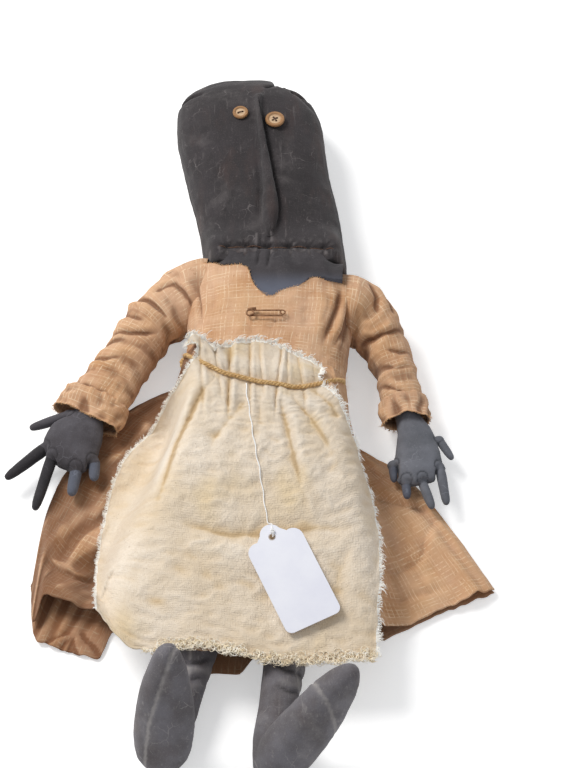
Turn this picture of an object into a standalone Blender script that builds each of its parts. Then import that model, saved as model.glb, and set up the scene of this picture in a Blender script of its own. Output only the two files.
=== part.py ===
"""A stuffed rag doll in a dress and apron, lying on its back.

Metres, +Z up. The head points to +Y and the feet to -Y. The origin is on the surface that the doll
lies on, straight below the middle of the hip axis. Left and right are those of someone who looks at
the face from above with the head away from them, so left is -X.
"""

import math

import bmesh
import bpy
from mathutils import Matrix, Vector
from mathutils.bvhtree import BVHTree

# Clearances, cloth and helper lengths
GAP = 0.0003
CLOTH = 0.001
DRAPE_GAP = 0.0007
APRON_GAP = 0.0013
DRAPE_REACH = 0.0045
OVERRUN = 0.006
SKY = 0.3

# Torso, from the hip axis to the neck axis
TORSO_LENGTH = 0.140
TORSO_WIDTH = 0.106
TORSO_DEPTH = 0.056
HIP_HEIGHT = 0.0285
HIP_RADIUS = 0.027
NECK_HEIGHT = 0.027
NECK_RADIUS = 0.0245

# Head
HEAD_LENGTH = 0.194
HEAD_WIDTH = 0.106
HEAD_DEPTH = 0.061
HEAD_START = 0.012
NOTCH_WIDTH = 0.009
NOTCH_DEPTH = 0.015

# Nose, mouth and eyes on the face
NOSE_FROM_MOUTH = 0.0071
NOSE_WIDTH = 0.012
NOSE_RISE = 0.0082
MOUTH_FROM_NECK = 0.0295
MOUTH_LEFT = 0.033
MOUTH_RIGHT = 0.0485
MOUTH_THREAD = 0.0011
SMALL_BUTTON = 0.0114
LARGE_BUTTON = 0.0140
BUTTON_THICK = 0.0024
BUTTON_HOLE = 0.0017
BUTTON_HOLE_PITCH = 0.0032
EYE_THREAD = 0.0007
EYE_FROM_CROWN = 0.062
EYE_SPREAD = 0.0125
EYE_MIDDLE = 0.007
EYE_DROP = 0.003

# Dress: bodice, sleeves and skirt
BODICE_WIDTH = 0.113
BODICE_DEPTH = 0.061
WAIST_SHARE = 4 / 7
WAIST_SLANT = 0.25
WAIST_EDGE = 0.0030
SHOULDER_FROM_NECK = 0.033
SHOULDER_SLANT = 0.16
NECKLINE_WIDTH = 0.100
NECKLINE_DEPTH = 0.040
NECKLINE_DROP = 0.013
NAPE_WIDTH = 0.098
NAPE_FROM_NECK = 0.016
ARMHOLE_RADIUS = 0.019
SHOULDER_HEIGHT = 0.0265
LEFT_SHOULDER_FROM_NECK = 0.011
RIGHT_SHOULDER_FROM_NECK = -0.001
SLEEVE_REACH = 0.100
SLEEVE_WIDTH = 0.060
SLEEVE_DEPTH = 0.049
SKIRT_HALF_WIDTH = 0.152
SKIRT_LENGTH = 0.200
SKIRT_FOLD = 0.0034
BACK_PANEL = 0.0012

# Apron
APRON_HALF_WIDTH = 0.092
APRON_LENGTH = 0.230
APRON_TIE_DROP = 0.0271
APRON_GATHER = 0.0026

# Height of the lap: the cloth over the thighs and shins
LAP_HEIGHT = 0.061
LAP_HALF_WIDTH = 0.080

# Rope round the waist
ROPE = 0.0034
ROPE_KNOT = 0.0033
ROPE_TAIL = 0.013

# Arms and hands
ARM_RADIUS = 0.0155
WRIST_HEIGHT = 0.0175
WRIST_IN_CUFF = 0.006
LEFT_PALM_LENGTH = 0.050
LEFT_PALM_WIDTH = 0.039
LEFT_PALM_DEPTH = 0.0186
LEFT_FINGER = 0.0092
RIGHT_PALM_LENGTH = 0.058
RIGHT_PALM_WIDTH = 0.034
RIGHT_PALM_DEPTH = 0.016
RIGHT_FINGER = 0.0074
FINGER_HEIGHT = 0.0160
FINGERTIP_HEIGHT = 0.0150
FINGER_RISE = 45.0

# Legs and feet
LEG_LENGTH = 0.186
THIGH = 0.034
LEG_HEIGHT = 0.0190
LEG_SPACING = 0.047
FOOT_LENGTH = 0.098
FOOT_WIDTH = 0.039
FOOT_DEPTH = 0.029
HEEL_HEIGHT = 0.0085

# Safety pin
PIN_LENGTH = 0.0266
PIN_WIRE = 0.0010
PIN_GUARD_LENGTH = 0.0056
PIN_GUARD_WIDTH = 0.0068
PIN_GUARD_THICK = 0.0028
PIN_GUARD_WALL = 0.0005
PIN_COIL = 0.0032
PIN_FROM_NECK = 0.0304
PIN_MIDDLE = 0.0024

# Tag and its string
TAG_LENGTH = 0.073
TAG_WIDTH = 0.038
TAG_CARD = 0.0005
TAG_CORNER = 0.0045
TAG_HOLE = 0.0034
TAG_HOLE_INSET = 0.0088
TAG_LOBE = 0.0072
TAG_SHOULDER = 0.0068
TAG_HOLE_X = 0.0047
TAG_HOLE_Y = -0.0583
TAG_TURN = 25.5
TAG_SWING = 25.0
STRING = 0.0011

# Each row: along the length, left side, right side, underside, top
HEAD_ROW_SHARES = (
    (0, -0.387, 0.519, 0.098, 0.803),
    (0.067, -0.41, 0.538, 0.066, 0.836),
    (0.165, -0.429, 0.533, 0.04, 0.869),
    (0.361, -0.491, 0.476, -0.008, 0.918),
    (0.454, -0.538, 0.439, -0.008, 0.943),
    (0.639, -0.623, 0.396, -0.008, 0.992),
    (0.722, -0.637, 0.385, -0.008, 1),
    (0.794, -0.637, 0.363, -0.008, 0.984),
    (0.866, -0.608, 0.302, 0, 0.902),
    (0.928, -0.528, 0.208, 0.049, 0.754),
    (0.969, -0.396, 0.113, 0.148, 0.607),
    (1, -0.264, 0.038, 0.262, 0.475),
)
TORSO_ROW_SHARES = (
    (-0.186, -0.21, 0.21, 0.4, 0.62),
    (-0.15, -0.36, 0.36, 0.225, 0.795),
    (-0.093, -0.435, 0.435, 0.095, 0.925),
    (0, -0.481, 0.481, 0.029, 0.991),
    (0.321, -0.495, 0.486, 0.06, 1.045),
    (0.571, -0.5, 0.486, 0.1, 1.027),
    (0.821, -0.486, 0.528, 0.095, 0.973),
    (0.964, -0.481, 0.547, 0.06, 0.929),
    (1.075, -0.46, 0.535, 0.085, 0.88),
    (1.139, -0.41, 0.505, 0.19, 0.775),
    (1.17, -0.3, 0.42, 0.37, 0.595),
)
BODICE_ROW_SHARES = (
    (0, -0.49, 0.469, 0.021, 1),
    (0.2, -0.487, 0.482, 0.021, 0.99),
    (0.45, -0.478, 0.509, 0.021, 0.975),
    (0.7, -0.471, 0.531, 0.021, 0.961),
    (0.85, -0.464, 0.536, 0.021, 0.954),
    (1, -0.447, 0.527, 0.028, 0.951),
)

# Places across and along, row by row from the waist to the hem
SKIRT_GRID_SHARES = (
    ((-0.362, 0.453), (-0.289, 0.438), (-0.197, 0.42), (-0.099, 0.403), (0, 0.385),
     (0.099, 0.365), (0.197, 0.347), (0.283, 0.333), (0.355, 0.318)),
    ((-0.658, 0.31), (-0.487, 0.26), (-0.316, 0.225), (-0.158, 0.205), (0, 0.19),
     (0.145, 0.18), (0.263, 0.175), (0.342, 0.18), (0.408, 0.19)),
    ((-0.928, 0.025), (-0.737, -0.04), (-0.5, -0.1), (-0.25, -0.15), (0, -0.17),
     (0.23, -0.16), (0.408, -0.11), (0.553, -0.04), (0.684, 0.02)),
    ((-1.013, -0.35), (-0.974, -0.54), (-0.789, -0.615), (-0.493, -0.635), (-0.099, -0.65),
     (0.296, -0.6), (0.625, -0.485), (0.842, -0.405), (0.993, -0.36)),
)
APRON_GRID_SHARES = (
    ((-0.587, 0.37), (-0.5, 0.387), (-0.37, 0.343), (-0.207, 0.361), (0.022, 0.357),
     (0.185, 0.326), (0.413, 0.265)),
    ((-0.511, 0.309), (-0.402, 0.278), (-0.272, 0.252), (-0.109, 0.23), (0.043, 0.222),
     (0.217, 0.211), (0.402, 0.217)),
    ((-0.891, 0.113), (-0.598, 0.078), (-0.326, 0.061), (-0.076, 0.052), (0.152, 0.052),
     (0.37, 0.061), (0.598, 0.104)),
    ((-1.196, -0.209), (-0.804, -0.243), (-0.435, -0.261), (-0.13, -0.27), (0.196, -0.261),
     (0.5, -0.239), (0.804, -0.191)),
    ((-1.065, -0.487), (-0.87, -0.57), (-0.5, -0.557), (-0.152, -0.578), (0.174, -0.604),
     (0.478, -0.6), (0.761, -0.591)),
)

# Each row: place along the skirt, height, middle, half width of the top, width of the fall
LAP_ROW_SHARES = (
    (0.45, 1.0, -0.01, 0.575, 0.13),
    (0.22, 1.0, 0, 0.59, 0.15),
    (0.08, 0.98, -0.02, 0.63, 0.18),
    (-0.06, 0.9, -0.06, 0.73, 0.24),
    (-0.2, 0.74, -0.12, 0.83, 0.3),
    (-0.64, 0.54, -0.18, 1.0, 0.4),
)

# Each row: out from the shoulder, down from it, height, half width, half depth, turn in degrees
LEFT_SLEEVE_SHARES = (
    (0, 0, 1, 0.5, 0.5, 0),
    (0.156, 0.08, 0.906, 0.4, 0.408, 30),
    (0.336, 0.23, 0.849, 0.342, 0.337, 42),
    (0.436, 0.41, 0.792, 0.292, 0.286, 58),
    (0.546, 0.65, 0.717, 0.317, 0.255, 66),
    (0.62, 0.88, 0.653, 0.355, 0.224, 66),
    (0.624, 0.89, 0.653, 0.382, 0.255, 66),
    (0.656, 0.965, 0.623, 0.392, 0.235, 64.5),
)
RIGHT_SLEEVE_SHARES = (
    (0, 0, 1, 0.442, 0.5, 0),
    (0.14, 0.09, 0.906, 0.333, 0.388, 38),
    (0.225, 0.31, 0.83, 0.258, 0.296, 63),
    (0.285, 0.57, 0.717, 0.228, 0.245, 75),
    (0.32, 0.77, 0.649, 0.23, 0.216, 81),
    (0.321, 0.78, 0.649, 0.257, 0.247, 81),
    (0.34, 0.875, 0.623, 0.255, 0.227, 81.5),
)
ARM_TAPER_SHARES = (1, 0.95, 0.82, 0.72, 0.62)

# Each row: along the palm from the wrist, across, half width, half depth
LEFT_PALM_SHARES = (
    (-0.13, 0, 0.1, 0.2), (-0.09, 0, 0.16, 0.34), (0, 0, 0.205, 0.42), (0.16, -0.02, 0.32, 0.42),
    (0.3, -0.06, 0.45, 0.48), (0.52, -0.06, 0.52, 0.5), (0.76, -0.03, 0.53, 0.46),
    (0.92, 0, 0.45, 0.38), (1, 0.03, 0.28, 0.2),
)
RIGHT_PALM_SHARES = (
    (-0.1, 0, 0.1, 0.2), (-0.07, 0, 0.16, 0.34), (0, 0, 0.205, 0.43), (0.14, 0.08, 0.29, 0.43),
    (0.34, 0.13, 0.38, 0.45), (0.5, 0.1, 0.42, 0.48), (0.72, 0.05, 0.52, 0.5), (0.9, 0, 0.48, 0.42),
    (1, 0, 0.32, 0.22),
)
LEFT_HAND_TURN = 70.0
RIGHT_HAND_TURN = 82.0

# Each row: root across and along, tip across and along, root width, tip width
LEFT_FINGER_SHARES = {
    "thumb": (-0.42, -0.12, -0.86, -0.28, 0.94, 0.7),
    "index_finger": (-0.63, -0.62, -1.13, -1.08, 1.15, 0.76),
    "middle_finger": (-0.53, -0.84, -0.7, -1.57, 1, 0.76),
    "ring_finger": (-0.17, -0.96, -0.22, -1.35, 1, 0.84),
    "little_finger": (0.07, -0.84, 0.08, -1.12, 1, 0.8),
}
RIGHT_FINGER_SHARES = {
    "thumb": (0.4, -0.37, 0.55, -0.63, 0.92, 0.72),
    "index_finger": (0.4, -0.83, 0.45, -1.24, 1.06, 0.86),
    "middle_finger": (0.188, -0.973, 0.292, -1.294, 1.02, 0.86),
    "ring_finger": (-0.02, -0.85, 0, -1.163, 1.02, 0.82),
    "little_finger": (-0.16, -0.714, -0.145, -0.94, 0.92, 0.74),
}

# Each row: along the leg, half width, half depth
LEG_SHARES = (
    (0.004, 0.2, 0.2), (0.02, 0.36, 0.36), (0.05, 0.45, 0.45), (0.1, 0.5, 0.5), (0.3, 0.485, 0.49),
    (0.5, 0.42, 0.43), (0.68, 0.365, 0.375), (0.85, 0.4, 0.4), (0.97, 0.36, 0.34), (1, 0.16, 0.16),
)
# Each row: along the foot from the heel, half width, half depth
FOOT_SHARES = (
    (0, 0.24, 0.3), (0.08, 0.44, 0.49), (0.26, 0.5, 0.5), (0.5, 0.47, 0.47), (0.72, 0.38, 0.39),
    (0.9, 0.26, 0.3), (1, 0.1, 0.12),
)
LEFT_LEG_TURN = 14.5
RIGHT_LEG_TURN = 7.0
LEFT_FOOT_LEAN = (4.0, 25.0)
RIGHT_FOOT_LEAN = (33.0, 24.0)

# Each row: along the nose from the crown, place across, half width, rise
NOSE_SHARES = (
    (0, -0.45, 0.12, 0.3), (0.05, -0.48, 0.19, 0.55), (0.2, -0.53, 0.21, 0.7), (0.36, -0.37, 0.22, 0.75),
    (0.54, -0.06, 0.27, 0.82), (0.72, 0.17, 0.4, 0.95), (0.84, 0.21, 0.5, 1), (0.93, 0.19, 0.47, 0.92),
    (0.985, 0.18, 0.26, 0.6),
)
# The neckline, across and down from its highest point
NECKLINE_SHARES = (
    (-0.5, -0.5), (-0.49, 0), (-0.35, 0.2), (-0.19, 0.24), (-0.12, 0.73), (-0.03, 0.96), (0.07, 0.78),
    (0.19, 0.68), (0.26, 0.5), (0.49, 0.54), (0.51, -0.5),
)
# The rope's route over the front: degrees round from the right, and place along
ROPE_FRONT_SHARES = (
    (0, 0.824), (20, 0.79), (35, 0.69), (49, 0.61), (63, 0.59), (96, 0.64), (127, 0.725), (144, 0.89),
    (160, 1.06), (180, 1.176),
)
# The string's route over the apron: across, and along from the rope to the tag
STRING_SHARES = (
    (-0.0130, 0), (-0.0120, 0.109), (-0.0105, 0.212), (-0.0085, 0.368), (-0.0060, 0.523),
    (-0.0030, 0.689), (-0.0005, 0.855), (0.0018, 1),
)

DOLL = bpy.data.collections.new("rag_doll")
CUTTERS = bpy.data.collections.new("cutters")


def clear_scene():
    for obj in list(bpy.data.objects):
        bpy.data.objects.remove(obj)
    bpy.context.scene.collection.children.link(DOLL)
    bpy.context.scene.collection.children.link(CUTTERS)


def material(name, colour, roughness, metallic=0.0):
    made = bpy.data.materials.new(name)
    made.use_nodes = True
    shader = made.node_tree.nodes["Principled BSDF"]
    shader.inputs["Base Color"].default_value = (*colour, 1)
    shader.inputs["Roughness"].default_value = roughness
    shader.inputs["Metallic"].default_value = metallic
    return made


def add(name, data, finish):
    """A named piece of the doll."""
    obj = bpy.data.objects.new(name, data)
    obj.data.materials.append(finish)
    DOLL.objects.link(obj)
    return obj


def add_cutter(name, mesh):
    obj = bpy.data.objects.new(name, mesh)
    obj.hide_render = True
    obj.display_type = "WIRE"
    CUTTERS.objects.link(obj)
    return obj


def mesh_from(bm, name, smooth=True):
    mesh = bpy.data.meshes.new(name)
    bm.to_mesh(mesh)
    bm.free()
    if smooth:
        mesh.shade_smooth()
    return mesh


def boolean(obj, cutter, operation="DIFFERENCE"):
    modifier = obj.modifiers.new(cutter.name, "BOOLEAN")
    modifier.operation = operation
    modifier.object = cutter
    return modifier


def soften(obj, levels=1):
    modifier = obj.modifiers.new("soft", "SUBSURF")
    modifier.levels = levels
    modifier.render_levels = levels


def thicken(obj, thickness, offset=1.0):
    modifier = obj.modifiers.new("cloth", "SOLIDIFY")
    modifier.thickness = thickness
    modifier.offset = offset


def as_mesh(obj):
    """The evaluated mesh of an object that is then removed, with a curve's caps welded on."""
    graph = bpy.context.evaluated_depsgraph_get()
    mesh = bpy.data.meshes.new_from_object(obj.evaluated_get(graph))
    mesh.transform(obj.matrix_world)
    bm = bmesh.new()
    bm.from_mesh(mesh)
    bmesh.ops.remove_doubles(bm, verts=bm.verts, dist=STRING * 0.01)
    bm.to_mesh(mesh)
    bm.free()
    bpy.data.objects.remove(obj)
    return mesh


def ring(centre, heading, above, half_width, half_depth, count, power, grow=1.0):
    """Points round a section that faces heading. A power of 2 is an ellipse, and more is squarer."""
    ahead = Vector(heading).normalized()
    side = Vector(above).cross(ahead).normalized()
    up = ahead.cross(side)
    points = []
    for i in range(count):
        angle = math.tau * i / count
        across = math.copysign(abs(math.cos(angle)) ** (2 / power), math.cos(angle))
        rise = math.copysign(abs(math.sin(angle)) ** (2 / power), math.sin(angle))
        points.append(Vector(centre) + side * across * half_width * grow + up * rise * half_depth * grow)
    return points


def subdivision_growth(count):
    """How much larger a cage ring of this many points is than the round shape it makes."""
    return 3 / (2 + math.cos(math.tau / count))


def loft(name, rings, closed=True):
    bm = bmesh.new()
    rows = [[bm.verts.new(point) for point in points] for points in rings]
    for low, high in zip(rows, rows[1:]):
        for i in range(len(low)):
            j = (i + 1) % len(low)
            bm.faces.new((low[i], low[j], high[j], high[i]))
    if closed:
        bm.faces.new(rows[0][::-1])
        bm.faces.new(rows[-1])
    return mesh_from(bm, name)


def between(table, place):
    """The row of a table at this place along it, eased from row to row. Places run either way."""
    rows = sorted(table)
    if place <= rows[0][0]:
        return rows[0]
    for low, high in zip(rows, rows[1:]):
        if place <= high[0]:
            share = (place - low[0]) / (high[0] - low[0])
            return tuple(a + (b - a) * share for a, b in zip(low, high))
    return rows[-1]


def curve_through(points, share):
    """A point on the smooth curve through these points, with share from 0 to 1."""
    last = len(points) - 1
    whole = min(int(share * last), last - 1)
    t = share * last - whole
    p = [Vector(points[max(0, min(last, whole + k))]) for k in (-1, 0, 1, 2)]
    return 0.5 * (
        2 * p[1]
        + (p[2] - p[0]) * t
        + (2 * p[0] - 5 * p[1] + 4 * p[2] - p[3]) * t * t
        + (3 * p[1] - p[0] - 3 * p[2] + p[3]) * t * t * t
    )


def spaced(points, step):
    """Points every step or so along the smooth curve through the given ones."""
    fine = [curve_through(points, i / (len(points) * 24)) for i in range(len(points) * 24 + 1)]
    lengths = [0]
    for a, b in zip(fine, fine[1:]):
        lengths.append(lengths[-1] + (b - a).length)
    count = max(3, round(lengths[-1] / step))
    made, k = [], 0
    for i in range(count + 1):
        target = lengths[-1] * i / count
        while k < len(fine) - 2 and lengths[k + 1] < target:
            k += 1
        span = lengths[k + 1] - lengths[k]
        made.append(fine[k].lerp(fine[k + 1], (target - lengths[k]) / span if span else 0))
    return made


def tube(name, points, diameter, sides=2, cyclic=False):
    """A round tube along the points, as a curve with filled caps."""
    curve = bpy.data.curves.new(name, "CURVE")
    curve.dimensions = "3D"
    spline = curve.splines.new("POLY")
    spline.points.add(len(points) - 1)
    for point, place in zip(spline.points, points):
        point.co = (*place, 1)
    spline.use_cyclic_u = cyclic
    curve.bevel_depth = diameter / 2
    curve.bevel_resolution = sides
    curve.use_fill_caps = True
    return curve


def tube_mesh(name, points, diameter, sides=2):
    holder = bpy.data.objects.new(name, tube(name, points, diameter, sides))
    CUTTERS.objects.link(holder)
    return as_mesh(holder)


def cylinder(name, centre, axis, radius, length, sides=32):
    bm = bmesh.new()
    bmesh.ops.create_cone(bm, cap_ends=True, segments=sides, radius1=radius, radius2=radius, depth=length)
    turn = Vector((0, 0, 1)).rotation_difference(Vector(axis)).to_matrix().to_4x4()
    bmesh.ops.transform(bm, matrix=Matrix.Translation(centre) @ turn, verts=bm.verts)
    return mesh_from(bm, name, smooth=False)


def box(name, low, high):
    low, high = Vector(low), Vector(high)
    size = high - low
    bm = bmesh.new()
    bmesh.ops.create_cube(bm, size=1)
    place = Matrix.Translation((low + high) / 2) @ Matrix.Diagonal((*size, 1))
    bmesh.ops.transform(bm, matrix=place, verts=bm.verts)
    return mesh_from(bm, name, smooth=False)


def ball(name, centre, radius, squash=1.0):
    bm = bmesh.new()
    bmesh.ops.create_uvsphere(bm, u_segments=12, v_segments=8, radius=radius)
    place = Matrix.Translation(centre) @ Matrix.Diagonal((1, 1, squash, 1))
    bmesh.ops.transform(bm, matrix=place, verts=bm.verts)
    return mesh_from(bm, name)


def prism(name, outline, low, high):
    """A flat outline between two heights."""
    bm = bmesh.new()
    face = bm.faces.new([bm.verts.new((x, y, low)) for x, y in outline])
    grown = bmesh.ops.extrude_face_region(bm, geom=[face])
    raised = [v for v in grown["geom"] if isinstance(v, bmesh.types.BMVert)]
    bmesh.ops.translate(bm, vec=(0, 0, high - low), verts=raised)
    bmesh.ops.recalc_face_normals(bm, faces=bm.faces)
    return mesh_from(bm, name, smooth=False)


class Surface:
    """What lies under the sky over some pieces, read from their finished shapes."""

    def __init__(self, *objects):
        graph = bpy.context.evaluated_depsgraph_get()
        self.trees = [BVHTree.FromObject(obj, graph) for obj in objects]

    def top(self, x, y, missing=0.0):
        hits = [tree.ray_cast(Vector((x, y, SKY)), Vector((0, 0, -1)))[0] for tree in self.trees]
        return max([hit.z for hit in hits if hit is not None], default=missing)

    def reach(self, core, out):
        """How far the pieces reach out from a core inside them, in this direction."""
        hits = [tree.ray_cast(core + out * SKY, -out, SKY)[0] for tree in self.trees]
        return max([(hit - core).length for hit in hits if hit is not None], default=0.0)

    def top_near(self, x, y, reach, missing=0.0):
        """The highest of the tops within reach, so that a flat face laid over them stays clear."""
        around = [(0, 0)] + [
            (reach * math.cos(math.tau * i / 8), reach * math.sin(math.tau * i / 8)) for i in range(8)
        ]
        return max(self.top(x + dx, y + dy, missing) for dx, dy in around)


def waist_line(x, edge=0.0):
    """How far from the hip axis the rope's line is at this place across."""
    return TORSO_LENGTH * WAIST_SHARE - WAIST_SLANT * x + edge


def pillow(rows, start, length, width, depth, count, power, grow):
    """Rings of a stuffed form along Y, from a table of shares."""
    rings = []
    for along, left, right, low, high in rows:
        centre = ((left + right) / 2 * width, start + along * length, (low + high) / 2 * depth)
        half = ((right - left) / 2 * width, (high - low) / 2 * depth)
        rings.append(ring(centre, (0, 1, 0), (0, 0, 1), *half, count, power, grow))
    return rings


def make_torso(finish):
    size = (TORSO_LENGTH, TORSO_WIDTH, TORSO_DEPTH)
    rings = pillow(TORSO_ROW_SHARES, 0, *size, 12, 2.6, subdivision_growth(12))
    torso = add("torso", loft("torso", rings), finish)
    soften(torso)
    return torso


def make_head(finish, table):
    start = TORSO_LENGTH + HEAD_START
    size = (HEAD_LENGTH, HEAD_WIDTH, HEAD_DEPTH)
    rings = pillow(HEAD_ROW_SHARES, start, *size, 14, 2.5, subdivision_growth(14))
    head = add("head", loft("head", rings), finish)
    soften(head)
    neck = (0, TORSO_LENGTH, NECK_HEIGHT)
    cup = cylinder("neck_cup", neck, (1, 0, 0), NECK_RADIUS + GAP, HEAD_WIDTH + HEAD_WIDTH, 64)
    boolean(head, add_cutter("neck_cup", cup))
    notch = Matrix.Diagonal((NOTCH_WIDTH, NOTCH_DEPTH, SKY, 1)) @ Matrix.Rotation(math.radians(45), 4, "Z")
    bm = bmesh.new()
    bmesh.ops.create_cube(bm, size=1)
    crown = (HEAD_WIDTH * 0.07, start + HEAD_LENGTH, 0)
    bmesh.ops.transform(bm, matrix=Matrix.Translation(crown) @ notch, verts=bm.verts)
    boolean(head, add_cutter("crown_notch", mesh_from(bm, "crown_notch", smooth=False)))
    boolean(head, table)
    return head


def mouth_line():
    return TORSO_LENGTH + MOUTH_FROM_NECK


def make_nose(finish, face):
    start = TORSO_LENGTH + HEAD_START + HEAD_LENGTH * 0.905
    length = start - (mouth_line() + NOSE_FROM_MOUTH)
    rings, stations = [], 20
    for i in range(stations + 1):
        along, across, half, rise = between(NOSE_SHARES, i / stations)
        x, y = across * NOSE_WIDTH, start - along * length
        base = face.top_near(x, y, NOSE_WIDTH * 0.3) + GAP
        height = rise * NOSE_RISE
        section = ring((x, y, base), (0, -1, 0), (0, 0, 1), half * NOSE_WIDTH, height, 12, 2)
        rings.append([Vector((p.x, p.y, max(p.z, base))) for p in section])
    return add("nose", loft("nose", rings), finish)


def make_button(name, finish, diameter, x, y, face, holes):
    """A turned disc with a raised rim, a dished middle and sewing holes."""
    radius = diameter / 2
    rim, dish, foot = BUTTON_THICK, BUTTON_THICK * 0.68, radius * 0.86
    profile = (
        (0, dish), (radius * 0.6, dish), (radius * 0.72, rim), (radius * 0.92, rim),
        (radius, rim * 0.7), (radius, rim * 0.35), (foot, 0), (0, 0),
    )
    bm = bmesh.new()
    points = [bm.verts.new((px, 0, pz)) for px, pz in profile]
    for a, b in zip(points, points[1:]):
        bm.edges.new((a, b))
    disc = add(name, mesh_from(bm, name, smooth=False), finish)
    screw = disc.modifiers.new("turned", "SCREW")
    screw.steps = screw.render_steps = 20
    screw.use_merge_vertices = True
    screw.merge_threshold = 0.0001
    base = face.top_near(x, y, radius) + GAP
    disc.location = (x, y, base)
    bpy.context.view_layer.update()
    for i, (dx, dy) in enumerate(holes):
        centre = (x + dx * BUTTON_HOLE_PITCH / 2, y + dy * BUTTON_HOLE_PITCH / 2, base)
        hole = cylinder("hole", centre, (0, 0, 1), BUTTON_HOLE / 2, BUTTON_THICK * 3, 10)
        boolean(disc, add_cutter(f"{name}_hole_{i}", hole))
    return disc, base + dish


def make_eye_thread(name, finish, x, y, dish, stitches):
    """Stitches that dip into the button's holes at both ends and lie on its dished middle."""
    rise = dish + GAP + EYE_THREAD / 2
    sunk = dish - BUTTON_THICK * 0.4
    reach = BUTTON_HOLE_PITCH / 2
    whole = None
    for i, ((ax, ay), (bx, by)) in enumerate(stitches):
        a = Vector((x + ax * reach, y + ay * reach, sunk))
        b = Vector((x + bx * reach, y + by * reach, sunk))
        top = Vector((0, 0, rise - sunk))
        route = (a, a + top * 0.9, a.lerp(b, 0.12) + top, a.lerp(b, 0.88) + top, b + top * 0.9, b)
        mesh = tube_mesh(f"{name}_{i}", route, EYE_THREAD, 1)
        if whole is None:
            whole = add(name, mesh, finish)
        else:
            boolean(whole, add_cutter(f"{name}_{i}", mesh), "UNION")
    return whole


def make_mouth(finish, face):
    y = mouth_line()
    points = []
    count = 26
    for i in range(count + 1):
        x = -MOUTH_LEFT + (MOUTH_LEFT + MOUTH_RIGHT) * i / count
        sway = MOUTH_THREAD * 0.5 * math.sin(math.tau * i / 6.5)
        z = face.top_near(x, y, MOUTH_THREAD) + GAP + MOUTH_THREAD / 2
        points.append(Vector((x, y + sway, z)))
    return add("mouth_thread", tube("mouth_thread", points, MOUTH_THREAD, 1), finish)


def shoulder_point(side):
    """Where the sleeve's root is centred, just outside the bodice. Side is -1 for left, 1 for right."""
    along = TORSO_LENGTH + (LEFT_SHOULDER_FROM_NECK if side < 0 else RIGHT_SHOULDER_FROM_NECK)
    rows = [row[1] if side < 0 else row[2] for row in BODICE_ROW_SHARES[1:]]
    reach = max(abs(share) for share in rows) * BODICE_WIDTH + CLOTH + GAP
    return Vector((side * reach, along, SHOULDER_HEIGHT))


def make_bodice(finish):
    """A cloth tube round the chest, with armholes and a ragged V neckline."""
    rings = []
    for along, left, right, low, high in BODICE_ROW_SHARES:
        centre = ((left + right) / 2 * BODICE_WIDTH, 0, (low + high) / 2 * BODICE_DEPTH)
        half = ((right - left) / 2 * BODICE_WIDTH, (high - low) / 2 * BODICE_DEPTH)
        points = ring(centre, (0, 1, 0), (0, 0, 1), *half, 28, 2.7)
        for p in points:
            shoulder = TORSO_LENGTH + SHOULDER_FROM_NECK - SHOULDER_SLANT * p.x
            bottom = waist_line(p.x, WAIST_EDGE)
            p.y = bottom + (shoulder - bottom) * along
        rings.append(points)
    bodice = add("bodice", loft("bodice", rings, closed=False), finish)
    thicken(bodice, CLOTH)
    for side, name in ((-1, "left"), (1, "right")):
        hole = cylinder("armhole", shoulder_point(side), (1, 0, 0), ARMHOLE_RADIUS, SLEEVE_DEPTH, 32)
        boolean(bodice, add_cutter(f"armhole_{name}", hole))
    top = TORSO_LENGTH + HEAD_START + NECKLINE_DROP
    outline = [
        (NECKLINE_WIDTH * across + BODICE_WIDTH * 0.055, top - NECKLINE_DEPTH * down)
        for across, down in NECKLINE_SHARES
    ]
    neckline = prism("neckline", outline, NECK_HEIGHT, BODICE_DEPTH + OVERRUN)
    boolean(bodice, add_cutter("neckline", neckline))
    low = (-NAPE_WIDTH * 0.46, TORSO_LENGTH + NAPE_FROM_NECK, -OVERRUN)
    nape = box("nape", low, (NAPE_WIDTH * 0.54, SKY, NECK_HEIGHT * 0.6))
    boolean(bodice, add_cutter("nape", nape))
    return bodice


def limb_path(shares, side):
    """Centre, heading, half width and half depth of each station of a sleeve."""
    shoulder = shoulder_point(side)
    path = []
    for out, down, height, half_width, half_depth, turn in shares:
        centre = Vector((
            shoulder.x + side * out * SLEEVE_REACH,
            shoulder.y - down * SLEEVE_REACH,
            height * SHOULDER_HEIGHT,
        ))
        heading = Vector((side * math.cos(math.radians(turn)), -math.sin(math.radians(turn)), 0))
        path.append((centre, heading, half_width * SLEEVE_WIDTH, half_depth * SLEEVE_DEPTH))
    return path


def make_sleeve(name, finish, path):
    rings = [
        ring(centre, heading, (0, 0, 1), half_width, half_depth, 20, 2.2)
        for centre, heading, half_width, half_depth in path
    ]
    sleeve = add(name, loft(name, rings, closed=False), finish)
    thicken(sleeve, CLOTH)
    return sleeve


def wrist_point(path):
    centre, heading = path[-1][:2]
    point = centre - heading * WRIST_IN_CUFF
    return Vector((point.x, point.y, WRIST_HEIGHT))


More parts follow.
